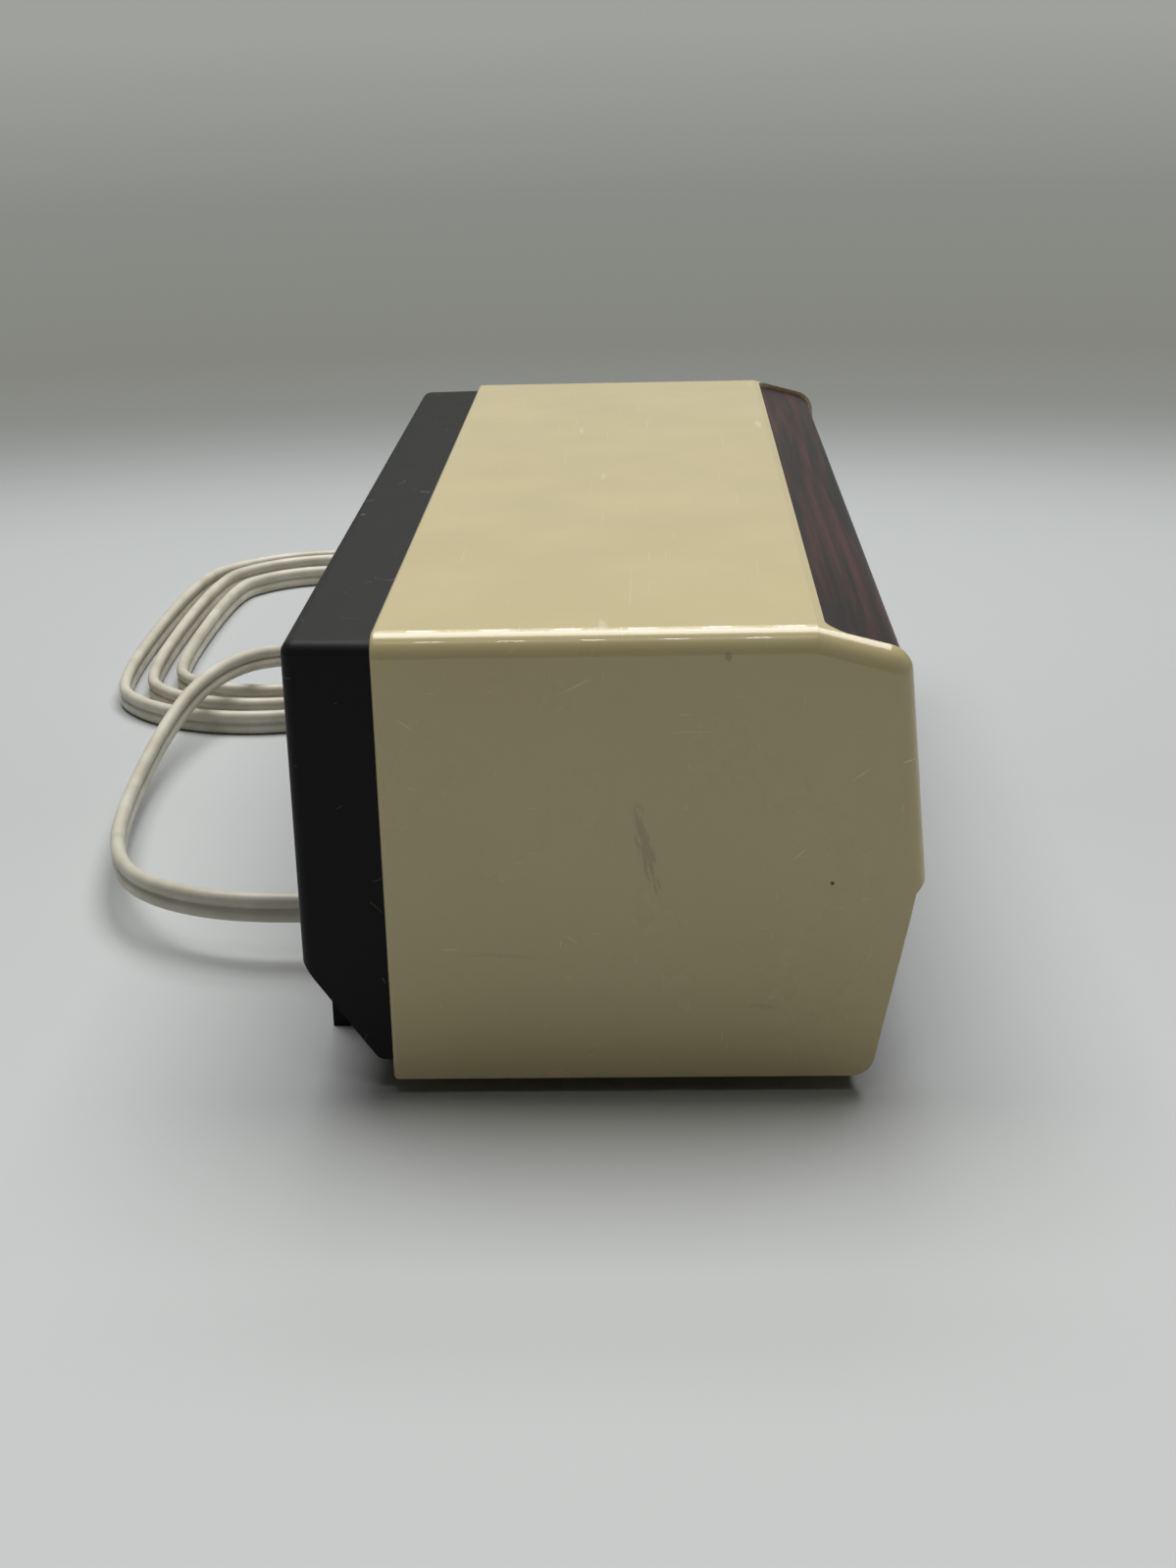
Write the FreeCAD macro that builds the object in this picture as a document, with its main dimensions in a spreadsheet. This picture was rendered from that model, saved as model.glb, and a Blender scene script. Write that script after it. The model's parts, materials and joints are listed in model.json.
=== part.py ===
import FreeCAD, Part
import math
import os
import Sketcher
from FreeCAD import Placement, Rotation, Vector

# Mains alarm clock with flip numbers, in millimetres. The front faces -Y and +Z is up.
# The origin is on the table, under the middle of the cabinet and its knobs.

doc = FreeCAD.newDocument("flip_clock")
sheet = doc.addObject("Spreadsheet::Sheet", "Dims")
sheet.Label = "Dims"


class Size:
    """A size from the sheet: its number, and the words that bind a feature to it."""

    def __init__(self, number, words):
        self.number = number
        self.words = words

    def __add__(self, other):
        other = sized(other)
        return Size(self.number + other.number, f"({self.words} + {other.words})")

    def __radd__(self, other):
        return sized(other) + self

    def __sub__(self, other):
        other = sized(other)
        return Size(self.number - other.number, f"({self.words} - {other.words})")

    def __rsub__(self, other):
        return sized(other) - self

    def __mul__(self, other):
        other = sized(other)
        return Size(self.number * other.number, f"({self.words} * {other.words})")

    def __rmul__(self, other):
        return sized(other) * self

    def __truediv__(self, other):
        other = sized(other)
        return Size(self.number / other.number, f"({self.words} / {other.words})")

    def __neg__(self):
        return Size(-self.number, f"(0 - {self.words})")

    def __float__(self):
        return float(self.number)


def sized(value):
    return value if isinstance(value, Size) else Size(float(value), f"{float(value):.6f}")


def tan(angle):
    return Size(math.tan(math.radians(angle.number)), f"tan({angle.words} * 1 deg)")


def cos(angle):
    return Size(math.cos(math.radians(angle.number)), f"cos({angle.words} * 1 deg)")


def sin(angle):
    return Size(math.sin(math.radians(angle.number)), f"sin({angle.words} * 1 deg)")


def larger(first, second):
    first, second = sized(first), sized(second)
    return Size(max(first.number, second.number), f"max({first.words}; {second.words})")


row = 0


def size(name, number):
    """Put one driving size in the sheet and give it back."""
    global row
    row += 1
    sheet.set(f"A{row}", name.replace("_", " "))
    sheet.set(f"B{row}", str(number))
    sheet.setAlias(f"B{row}", name)
    return Size(float(number), f"Dims.{name}")


# Driving sizes

# cabinet, measured from the seam with the rear cover and from its own bottom
cabinet_width = size("cabinet_width", 220)
cabinet_height = size("cabinet_height", 72)
foot_height = size("foot_height", 3)
side_wall = size("side_wall", 2.6)
deck_wall = size("deck_wall", 2.2)
top_run = size("top_run", 65.5)
brow_slope = size("brow_slope", 15.2)
brow_run = size("brow_run", 79.4)
lip_run = size("lip_run", 82.4)
lip_rise = size("lip_rise", 32)
lip_bevel = size("lip_bevel", 1.7)
toe_run = size("toe_run", 74.3)
strip_run = size("strip_run", 66.7)
edge_round = size("edge_round", 3.6)
seam_round = size("seam_round", 0.8)
brow_round = size("brow_round", 4.6)
toe_round = size("toe_round", 3.6)
corner_round = size("corner_round", 3.4)

# rear cover
back_depth = size("back_depth", 13.6)
back_inset = size("back_inset", 1.2)
back_drop = size("back_drop", 1.4)
back_draft = size("back_draft", 0.9)
back_lift = size("back_lift", 2.8)
back_knee = size("back_knee", 19.0)
back_hem = size("back_hem", 2.2)
back_wall = size("back_wall", 2.0)
spigot_length = size("spigot_length", 5)
spigot_wall = size("spigot_wall", 1.6)
leg_width = size("leg_width", 14)
leg_depth = size("leg_depth", 6)
leg_inset = size("leg_inset", 25)
vent_width = size("vent_width", 2.4)
vent_height = size("vent_height", 20)
vent_pitch = size("vent_pitch", 6)
vent_drop = size("vent_drop", 32.6)
cord_hole_inset = size("cord_hole_inset", 50.8)
cord_hole_rise = size("cord_hole_rise", 10.6)

# front
panel_recess = size("panel_recess", 1.0)
panel_wall = size("panel_wall", 2.0)
panel_gap = size("panel_gap", 0.3)
lens_wall = size("lens_wall", 1.6)
mask_wall = size("mask_wall", 1.2)
window_offset = size("window_offset", 67)
window_width = size("window_width", 138)
window_sill = size("window_sill", 2.7)
window_head = size("window_head", 9.5)

# mechanism
drum_back = size("drum_back", 50.4)
fan_room = size("fan_room", 0.6)
leaf_root = size("leaf_root", 9.4)
leaf_height = size("leaf_height", 14.4)
leaf_thick = size("leaf_thick", 0.25)
leaf_step = size("leaf_step", 0.5)
hub_core = size("hub_core", 6)
hub_disc = size("hub_disc", 1.2)
hour_offset = size("hour_offset", 58.5)
hour_width = size("hour_width", 33)
drum_gap = size("drum_gap", 11)
minute_width = size("minute_width", 41)
shaft_radius = size("shaft_radius", 1.5)
shaft_play = size("shaft_play", 0.06)
leaf_play = size("leaf_play", 0.3)
plate_wall = size("plate_wall", 1.2)
plate_gap = size("plate_gap", 0.6)
gear_wall = size("gear_wall", 1.8)
gear_module = size("gear_module", 0.76)
tie_radius = size("tie_radius", 2)
tray_wall = size("tray_wall", 1.5)
tray_rise = size("tray_rise", 8)
knob_stand = size("knob_stand", 6.5)
knob_radius = size("knob_radius", 8)
motor_radius = size("motor_radius", 12)
motor_length = size("motor_length", 16)

doc.recompute()

# Planes and lines that several pieces share

x_left = -(cabinet_width + knob_stand) / 2
x_right = x_left + cabinet_width
x_middle = x_left + cabinet_width / 2
y_seam = (lip_run - back_depth) / 2
y_back = y_seam + back_depth
z_base = foot_height
z_top = foot_height + cabinet_height
z_floor = z_base + deck_wall
z_ceiling = z_top - deck_wall
x_inner_left = x_left + side_wall
x_inner_right = x_right - side_wall

pieces = {}


def keep(thing, name):
    """Give an object the name of its file."""
    thing.Label = name
    pieces[name] = thing
    return thing


def bind(thing, prop, value):
    """Set a property and tie it to the sheet."""
    value = sized(value)
    thing.setExpression(prop, value.words)


def place(thing, x, y, z, turn=None):
    thing.Placement = Placement(Vector(float(x), float(y), float(z)), turn or Rotation())
    bind(thing, "Placement.Base.x", x)
    bind(thing, "Placement.Base.y", y)
    bind(thing, "Placement.Base.z", z)


def span(pair):
    low, high = sized(pair[0]), sized(pair[1])
    return low, high - low


def block(name, x, y, z):
    """A box from its three spans."""
    thing = doc.addObject("Part::Box", name)
    (x0, length), (y0, width), (z0, height) = span(x), span(y), span(z)
    bind(thing, "Length", length)
    bind(thing, "Width", width)
    bind(thing, "Height", height)
    place(thing, x0, y0, z0)
    return thing


TURNS = {
    "x": Rotation(Vector(0, 1, 0), 90),
    "y": Rotation(Vector(1, 0, 0), -90),
    "z": Rotation(),
}


def rod(name, along, reach, across, radius):
    """A cylinder along one axis: its reach on that axis, and where it lies across it."""
    thing = doc.addObject("Part::Cylinder", name)
    start, length = span(reach)
    bind(thing, "Radius", radius)
    bind(thing, "Height", length)
    spots = {"x": (start, *across), "y": (across[0], start, across[1]), "z": (*across, start)}
    place(thing, *spots[along], TURNS[along])
    return thing


def joined(name, things):
    thing = doc.addObject("Part::MultiFuse", name)
    thing.Shapes = things
    thing.Refine = True
    return thing


def grouped(name, things):
    """Like pieces that share a file, each still a solid of its own."""
    thing = doc.addObject("Part::Compound", name)
    thing.Links = things
    return thing


def cut(name, base, tools):
    thing = doc.addObject("Part::Cut", name)
    thing.Base = base
    thing.Tool = tools[0] if len(tools) == 1 else joined(name + "_tools", tools)
    thing.Refine = True
    return thing


PLANES = {"x": "YZ_Plane", "y": "XZ_Plane", "z": "XY_Plane"}


def outline_sketch(body, name, along, points, offset):
    """A closed outline on an origin plane of the body, each corner tied to the sheet."""
    sketch = body.newObject("Sketcher::SketchObject", name)
    plane = [f for f in body.Origin.OriginFeatures if f.Role == PLANES[along]][0]
    sketch.AttachmentSupport = [(plane, "")]
    sketch.MapMode = "FlatFace"
    spots = [Vector(float(a), float(b), 0) for a, b in points]
    for index, spot in enumerate(spots):
        sketch.addGeometry(Part.LineSegment(spot, spots[(index + 1) % len(spots)]), False)
    for index, (a, b) in enumerate(points):
        following = (index + 1) % len(points)
        sketch.addConstraint(Sketcher.Constraint("Coincident", index, 2, following, 1))
    for index, (a, b) in enumerate(points):
        for kind, value in (("DistanceX", sized(a)), ("DistanceY", sized(b))):
            number = sketch.addConstraint(Sketcher.Constraint(kind, -1, 1, index, 1, value.number))
            sketch.setExpression(f"Constraints[{number}]", value.words)
    bind(sketch, "AttachmentOffset.Base.z", offset)
    return sketch


def prism(name, along, reach, points):
    """A body with one pad of a closed outline along an axis."""
    body = doc.addObject("PartDesign::Body", name)
    start, length = span(reach)
    backwards = along == "y"
    offset = -(start + length) if backwards else start
    sketch = outline_sketch(body, name + "_outline", along, points, offset)
    pad = body.newObject("PartDesign::Pad", name + "_pad")
    pad.Profile = sketch
    bind(pad, "Length", length)
    body.Tip = pad
    sketch.Visibility = False
    doc.recompute()
    return body


def rounded(body, radius, wanted, label):
    """Round the edges of the body's tip that a test picks out by where they lie."""
    base = body.Tip
    edges = [f"Edge{i + 1}" for i, e in enumerate(base.Shape.Edges) if wanted(e)]
    fillet = body.newObject("PartDesign::Fillet", label)
    fillet.Base = (base, edges)
    bind(fillet, "Radius", radius)
    body.Tip = fillet
    doc.recompute()
    return body


def runs_along(edge, axis):
    ends = edge.Vertexes
    if len(ends) < 2:
        return False
    way = ends[1].Point - ends[0].Point
    return way.Length > 0 and abs(abs(way.normalize().dot(axis)) - 1) < 1e-6


X_AXIS = Vector(1, 0, 0)
Y_AXIS = Vector(0, 1, 0)
Z_AXIS = Vector(0, 0, 1)


def near(edge, y, z, slack=0.05):
    middle = edge.BoundBox.Center
    return abs(middle.y - float(y)) < slack and abs(middle.z - float(z)) < slack


# Side outline of the cabinet, from the seam round the front and back

brow_y = y_seam - brow_run
brow_z = z_top - (brow_run - top_run) * tan(brow_slope)
lip_y = y_seam - lip_run
lip_z = z_base + lip_rise
toe_y = y_seam - toe_run
chin_rise = lip_rise - lip_bevel
chin_y = lip_y + lip_bevel
bend_y = y_seam - top_run

cabinet_outline = [
    (y_seam, z_base),
    (toe_y, z_base),
    (chin_y, z_base + chin_rise),
    (lip_y, lip_z),
    (brow_y, brow_z),
    (bend_y, z_top),
    (y_seam, z_top),
]
# how far the upper front comes forward for each millimetre down, and the lower front up
front_lean = (brow_y - lip_y) / (brow_z - lip_z)
chin_lean = (toe_y - chin_y) / chin_rise


def front_y(z, back):
    """The upper front at a height, set back from its plane."""
    return lip_y + (z - lip_z) * front_lean + back


def brow_line(y, down):
    """The sloping brow at a depth, set down from its plane."""
    return z_top - (bend_y - y) * tan(brow_slope) - down


def chin_line(z, back):
    """The lower front at a height, set back from its plane."""
    return toe_y - (z - z_base) * chin_lean + back


def brow_corner(deep):
    """Where the set-back front and brow planes meet: y, z."""
    slope = tan(brow_slope)
    # front plane y = front_y(z, deep); brow plane z = brow_line(y, deep)
    top = z_top - (bend_y - (lip_y - lip_z * front_lean + deep)) * slope - deep
    z = top / (1 - front_lean * slope)
    return front_y(z, deep), z


# Cabinet: one cream moulding, a sleeve whose two cheeks frame the front

housing = prism("cabinet", "x", (x_left, x_right), cabinet_outline)
rounded(housing, brow_round, lambda e: runs_along(e, X_AXIS) and near(e, brow_y, brow_z), "brow_fillet")
rounded(housing, toe_round, lambda e: runs_along(e, X_AXIS) and near(e, toe_y, z_base), "toe_fillet")


def on_top_end(edge):
    """End edges of the top and of the brow, where the cheeks roll into the top."""
    box = edge.BoundBox
    at_end = box.XLength < 1e-4 and min(abs(box.XMin - float(x_left)), abs(box.XMin - float(x_right))) < 1e-3
    return at_end and box.YMin >= float(brow_y) - 0.3 and box.ZMin > float(lip_z) + 5 and box.YLength > 0.5


rounded(housing, edge_round, on_top_end, "top_fillet")
rounded(housing, seam_round, lambda e: e.BoundBox.YLength < 1e-4 and abs(e.BoundBox.YMin - float(y_seam)) < 1e-3,
        "seam_fillet")

sleeve_room = block("sleeve_room", (x_inner_left, x_inner_right), (lip_y - 5, y_seam + 5), (z_floor, z_ceiling))
strip_y = y_seam - strip_run
brow_opening = prism("brow_opening", "z", (z_ceiling - 3, z_top + 3), [
    (x_inner_left, lip_y - 5), (x_inner_right, lip_y - 5), (x_inner_right, strip_y), (x_inner_left, strip_y)])
rounded(brow_opening, corner_round,
        lambda e: runs_along(e, Z_AXIS) and abs(e.BoundBox.YMin - float(strip_y)) < 0.05, "opening_fillet")
chin_opening_y = toe_y + panel_recess + panel_wall + 1
chin_opening = block("chin_opening", (x_inner_left, x_inner_right), (lip_y - 5, chin_opening_y),
                     (z_base - 3, z_floor + 3))

# chassis posts rise from the cabinet floor, and boss blocks at the seam take the cover screws
z_tray = z_base + tray_rise
hour_x = x_middle - hour_offset
minute_x = hour_x + hour_width + drum_gap
minute_end = minute_x + minute_width
drum_y = y_seam - drum_back
drum_z = z_ceiling - fan_room - leaf_root - leaf_height
switch_x = x_middle + size("switch_offset", 79)
switch_margin = size("switch_margin", 6)
tray_left = hour_x - size("tray_margin", 4)
tray_right = switch_x - switch_margin - 0.5
tray_front = toe_y + size("tray_setback", 3.9)
tray_back = y_seam - size("tray_clear", 8)
post_radius = size("post_radius", 3.4)
post_edge = size("post_edge", 7)
tray_corners = [(x, y) for x in (tray_left + post_edge, tray_right - post_edge)
                for y in (tray_front + post_edge, tray_back - post_edge)]
screw_radius = size("screw_radius", 1.3)
posts = [rod("post", "z", (z_floor - 1, z_tray), corner, post_radius) for corner in tray_corners]
doc.recompute()

cover_screw_drop = size("cover_screw_drop", 7.8)
cover_screw_inset = size("cover_screw_inset", 12)
boss_side = size("boss_side", 9)
boss_length = size("boss_length", 14)
cover_screw_spots = [(x, z_ceiling - cover_screw_drop)
                     for x in (x_left + cover_screw_inset, x_right - cover_screw_inset)]
boss_back = y_seam - spigot_length - panel_gap
bosses = []
for x, z in cover_screw_spots:
    ear = (x - boss_side / 2, x + boss_side / 2)
    bosses.append(block("boss", ear, (boss_back - boss_length, boss_back), (z - boss_side / 2, z_ceiling + 1)))
pilots = [rod("pilot", "y", (boss_back - boss_length + 2, boss_back + 1), spot, screw_radius)
          for spot in cover_screw_spots]
side_hole_reach = (x_inner_right - 3, x_right + 3)

# time knob and alarm knob come through the right cheek
wheel_teeth = 60
knob_teeth = 24
pinion_teeth = 12
time_angle = size("time_angle", -34)
motor_angle = size("motor_angle", 22)
alarm_back = size("alarm_back", 58)
alarm_lift = size("alarm_lift", 0.6)
time_reach = gear_module * (wheel_teeth + knob_teeth) / 2
motor_reach = gear_module * (wheel_teeth + pinion_teeth) / 2
time_y = drum_y + time_reach * cos(time_angle)
time_z = drum_z + time_reach * sin(time_angle)
motor_y = drum_y + motor_reach * cos(motor_angle)
motor_z = drum_z + motor_reach * sin(motor_angle)
alarm_y = y_seam - alarm_back
alarm_z = drum_z + alarm_lift
spindle_radius = size("spindle_radius", 2)
knob_holes = [rod("knob_hole", "x", side_hole_reach, spot, spindle_radius + shaft_play)
              for spot in ((time_y, time_z), (alarm_y, alarm_z))]
housing_shell = cut("housing_shell", joined("housing_ribs", [
    cut("housing_open", housing, [sleeve_room, brow_opening, chin_opening]), *posts, *bosses]),
    [*knob_holes, *pilots])
keep(housing_shell, "housing_shell")

# Front: woodgrain panel over the brow and the upper front, with the window cut through it

front_gap_left = x_inner_left + panel_gap
front_gap_right = x_inner_right - panel_gap
strip_back_y = strip_y - panel_gap
panel_foot = lip_z + 0.4
skin = panel_recess
under = panel_recess + panel_wall
corner_y, corner_z = brow_corner(skin)
inner_y, inner_z = brow_corner(under)
wood_body = prism("wood_panel", "x", (front_gap_left, front_gap_right), [
    (strip_back_y, brow_line(strip_back_y, skin)),
    (corner_y, corner_z),
    (front_y(panel_foot, skin), panel_foot),
    (front_y(panel_foot, under), panel_foot),
    (inner_y, inner_z),
    (strip_back_y, brow_line(strip_back_y, under)),
])
rounded(wood_body, brow_round - panel_recess,
        lambda e: runs_along(e, X_AXIS) and near(e, corner_y, corner_z), "wood_bend")
rounded(wood_body, brow_round - panel_recess - panel_wall,
        lambda e: runs_along(e, X_AXIS) and near(e, inner_y, inner_z), "wood_bend_inside")
rounded(wood_body, corner_round - panel_gap,
        lambda e: not runs_along(e, X_AXIS) and e.BoundBox.XLength < 0.01
        and abs(e.BoundBox.YMin - float(strip_back_y)) < 0.05 and abs(e.BoundBox.YMax - float(strip_back_y)) < 0.05,
        "wood_corners")
window_x = (x_middle - window_offset, x_middle - window_offset + window_width)
window_z = (lip_z + window_sill, brow_z - window_head)
window_cut = block("window_cut", window_x, (lip_y - 5, brow_y + 12), window_z)
keep(cut("woodgrain_panel", wood_body, [window_cut]), "woodgrain_panel")

lens_edge = size("lens_edge", 1.8)
lens_low = window_z[0] - lens_edge
lens_high = window_z[1] + lens_edge


def front_sheet(name, x, z, near_side, far_side):
    """A flat sheet that lies along the upper front, between two depths."""
    low, high = z
    return prism(name, "x", x, [
        (front_y(low, near_side), low), (front_y(low, far_side), low),
        (front_y(high, far_side), high), (front_y(high, near_side), high)])


wide_x = (window_x[0] - lens_edge, window_x[1] + lens_edge)
keep(front_sheet("display_lens", wide_x, (lens_low, lens_high), under, under + lens_wall), "display_lens")

# mask behind the lens, with an opening each for the hours, the minutes and the alarm dial
mask_sheet = front_sheet("mask_sheet", wide_x, (lens_low, lens_high), under + lens_wall,
                         under + lens_wall + mask_wall)
alarm_width = size("alarm_width", 10)
alarm_x = minute_end + size("alarm_gap", 28)
mask_margin = size("mask_margin", 1.5)
display_low = lens_low + mask_margin
display_high = lens_high - 2 * mask_margin
mask_cuts = []
for name, x0, x1, z0, z1 in (
        ("hour_view", hour_x + mask_margin, hour_x + hour_width - mask_margin, display_low, display_high),
        ("minute_view", minute_x + mask_margin, minute_end - mask_margin, display_low, display_high),
        ("alarm_view", alarm_x + mask_margin, alarm_x + alarm_width - mask_margin, alarm_z - 4, alarm_z + 4)):
    mask_cuts.append(block(name, (x0, x1), (lip_y - 5, brow_y + 14), (z0, z1)))
keep(cut("display_mask", mask_sheet, mask_cuts), "display_mask")

# Chin: ribbed panel under the lip, with the snooze bar and the alarm switch in it
chin_low = z_base + 1.2
chin_high = panel_foot - 0.4
chin_sheet = prism("chin_sheet", "x", (front_gap_left, front_gap_right), [
    (chin_line(chin_low, skin), chin_low), (chin_line(chin_high - 2, skin), chin_high - 2),
    (chin_line(chin_high - 2, skin), chin_high), (chin_line(chin_high - 2, under) + 4, chin_high),
    (chin_line(chin_high - 2, under) + 4, chin_high - 2), (chin_line(chin_high - 2, under), chin_high - 2),
    (chin_line(chin_low, under), chin_low)])
snooze_width = size("snooze_width", 60)
snooze_height = size("snooze_height", 9)
snooze_rise = size("snooze_rise", 16)
snooze_play = size("snooze_play", 0.4)
snooze_stand = size("snooze_stand", 3.4)
snooze_travel = size("snooze_travel", 2)
snooze_x = x_middle - 10
snooze_z = z_base + snooze_rise
snooze_reach = (snooze_x - snooze_width / 2, snooze_x + snooze_width / 2)
snooze_slot = block("snooze_slot", (snooze_reach[0] - snooze_play, snooze_reach[1] + snooze_play),
                    (lip_y - 8, toe_y + 10),
                    (snooze_z - snooze_height / 2 - snooze_play, snooze_z + snooze_height / 2 + snooze_play))
switch_width = size("switch_width", 6)
switch_height = size("switch_height", 5)
switch_travel = size("switch_travel", 5)
switch_slot = block("switch_slot", (switch_x - 0.4, switch_x + switch_width + switch_travel + 0.4),
                    (lip_y - 8, toe_y + 10),
                    (snooze_z - switch_height / 2 - 0.4, snooze_z + switch_height / 2 + 0.4))
keep(cut("chin_panel", chin_sheet, [snooze_slot, switch_slot]), "chin_panel")



def behind_chin(half_height, clearance):
    """The nearest depth behind the chin panel for a piece of that half height at the snooze bar."""
    low, high = chin_line(snooze_z - half_height, under), chin_line(snooze_z + half_height, under)
    return larger(low, high) + clearance


flange_edge = size("flange_edge", 2)
flange_wall = size("flange_wall", 1.4)
snooze_front = chin_line(snooze_z, skin) - snooze_stand
snooze_behind = behind_chin(snooze_height / 2 + flange_edge, panel_gap)
snooze_back = snooze_behind + flange_wall
snooze_body = prism("snooze_bar_body", "x", snooze_reach, [
    (snooze_back, snooze_z - snooze_height / 2), (snooze_front, snooze_z - snooze_height / 2),
    (snooze_front - 1.2, snooze_z + snooze_height / 2 - 1), (snooze_front, snooze_z + snooze_height / 2),
    (snooze_back, snooze_z + snooze_height / 2)])
snooze_flange = block("snooze_flange", (snooze_reach[0] - flange_edge, snooze_reach[1] + flange_edge),
                      (snooze_behind, snooze_back),
                      (snooze_z - snooze_height / 2 - flange_edge, snooze_z + snooze_height / 2 + flange_edge))
keep(joined("snooze_bar", [snooze_body, snooze_flange]), "snooze_bar")
switch_y = chin_line(snooze_z, skin)
switch_behind = behind_chin(switch_height / 2 + flange_edge, panel_gap)
switch_back = switch_behind + flange_wall
switch_button = block("switch_button", (switch_x, switch_x + switch_width), (switch_y - 2, switch_back),
                      (snooze_z - switch_height / 2, snooze_z + switch_height / 2))
switch_flange = block("switch_flange", (switch_x - 4, switch_x + switch_width + 4),
                      (switch_behind, switch_back),
                      (snooze_z - switch_height / 2 - flange_edge, snooze_z + switch_height / 2 + flange_edge))
keep(joined("alarm_switch_slider", [switch_button, switch_flange]), "alarm_switch_slider")
base_front = larger(switch_back, chin_line(z_floor, under)) + panel_gap
base_depth = size("base_depth", 6.3)
keep(block("alarm_switch_base", (switch_x - switch_margin, switch_x + switch_width + switch_travel + switch_margin),
           (base_front, base_front + base_depth), (z_floor + 0.01, snooze_z + 5)), "alarm_switch_base")

# Rear cover: a black tub that tapers to the back, with a spigot in the cabinet and two moulded legs

cover_low = z_base + back_lift
cover_top = z_top - back_drop
cover_left = x_left + back_inset
cover_right = x_right - back_inset
knee_z = z_base + back_knee
hem_y = y_seam + back_hem
cover_body = prism("cover_body", "x", (cover_left, cover_right), [
    (y_seam, cover_low), (hem_y, cover_low), (y_back, knee_z), (y_back, z_top + 1), (y_seam, z_top + 1)])
knee_round = size("knee_round", 0.9)
rounded(cover_body, knee_round, lambda e: runs_along(e, X_AXIS) and near(e, y_back, knee_z), "knee_fillet")
rounded(cover_body, back_hem - 0.3, lambda e: runs_along(e, X_AXIS) and near(e, hem_y, cover_low), "hem_fillet")

# its plan narrows to the back, and its upper edges are round
cover_round = size("cover_round", 2)
cover_plan = prism("cover_plan", "z", (z_base, cover_top), [
    (cover_left, y_seam), (cover_left + back_draft, y_back), (cover_right - back_draft, y_back),
    (cover_right, y_seam)])
rounded(cover_plan, cover_round + 0.2,
        lambda e: runs_along(e, Z_AXIS) and abs(e.BoundBox.YMin - float(y_back)) < 0.05, "plan_corner_fillet")
rounded(cover_plan, cover_round,
        lambda e: e.BoundBox.ZMin > float(cover_top) - 0.01 and e.BoundBox.YMax > float(y_seam) + 0.1,
        "plan_top_fillet")

tub_side = back_wall + 1
cover_room = prism("cover_room", "x", (cover_left + tub_side, cover_right - tub_side), [
    (y_seam - 1, cover_low + back_wall), (hem_y - 0.4, cover_low + back_wall),
    (y_back - back_wall, knee_z + back_wall * 0.9),
    (y_back - back_wall, cover_top - back_wall), (y_seam - 1, cover_top - back_wall)])
spigot_x = (x_inner_left + panel_gap, x_inner_right - panel_gap)
spigot_z = (z_floor + panel_gap, z_ceiling - panel_gap)
spigot_y = (y_seam - spigot_length, y_seam)
spigot_outside = block("spigot_outside", spigot_x, spigot_y, spigot_z)
spigot_room = block("spigot_room", (spigot_x[0] + spigot_wall, spigot_x[1] - spigot_wall),
                    (spigot_y[0] - 1, y_seam + 1), (spigot_z[0] + spigot_wall + 1, spigot_z[1] - spigot_wall))
leg_spots = [x_left + leg_inset, x_right - leg_inset - leg_width]
legs = []
for leg_x in leg_spots:
    leg = block("leg", (leg_x, leg_x + leg_width), (y_back - leg_depth - 0.5, y_back - 0.5),
                (0, knee_z - 3))
    legs.append(leg)
vent_count = 14
vent_first = x_middle - vent_pitch * (vent_count - 1) / 2
vent_z = cover_top - vent_drop
vents = [block("vent", (vent_first + vent_pitch * n, vent_first + vent_pitch * n + vent_width),
               (y_back - back_wall - 1, y_back + 1), (vent_z, vent_z + vent_height)) for n in range(vent_count)]
cord_x = x_left + cord_hole_inset
cord_z = cord_hole_rise
bush_radius = size("bush_radius", 4.6)
cord_hole = rod("cord_hole", "y", (y_seam - 1, y_back + 2), (cord_x, cord_z), bush_radius)
screw_head = size("screw_head", 2.6)
screw_holes = [rod("screw_hole", "y", (y_seam - spigot_length - 2, y_back + 2), spot, screw_radius + 0.3)
               for spot in cover_screw_spots]
pillar_reach = (y_seam - spigot_length, y_back - back_wall + 0.2)
pillars = [rod("pillar", "y", pillar_reach, spot, screw_head + 1.8) for spot in cover_screw_spots]
well_floor = y_back - 5
wells = [rod("well", "y", (well_floor, y_back + 2), spot, screw_head + 0.5) for spot in cover_screw_spots]
tub_outside = doc.addObject("Part::Common", "tub_outside")
tub_outside.Base = cover_body
tub_outside.Tool = cover_plan
tub = cut("tub", tub_outside, [cover_room])
spigot = cut("spigot", spigot_outside, [spigot_room])
leg_room = prism("leg_room", "x", (x_left, x_right), [
    (y_seam - 1, cover_low + 1), (hem_y - 0.4, cover_low + 1.2),
    (y_back - back_wall, knee_z + back_wall * 0.9), (y_back - back_wall, knee_z + 20), (y_seam - 1, knee_z + 20)])
feet = cut("legs", joined("leg_pair", legs), [leg_room])
rear = cut("rear_cover", joined("rear_cover_joined", [tub, spigot, feet, *pillars]),
           [cord_hole, *vents, *screw_holes, *wells])
keep(rear, "rear_cover")

screws = []
for x, z in cover_screw_spots:
    shank = rod("screw_shank", "y", (boss_back - 9, well_floor + 0.5), (x, z), screw_radius - shaft_play)
    head = rod("screw_cap", "y", (well_floor + 0.01, well_floor + 2), (x, z), screw_head)
    slot = block("screw_slot", (x - screw_head - 1, x + screw_head + 1), (well_floor + 1.2, well_floor + 3),
                 (z - 0.4, z + 0.4))
    screws.append(cut("cover_screw", joined("screw_blank", [shank, head]), [slot]))
keep(grouped("cover_screws", screws), "cover_screws")

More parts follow.
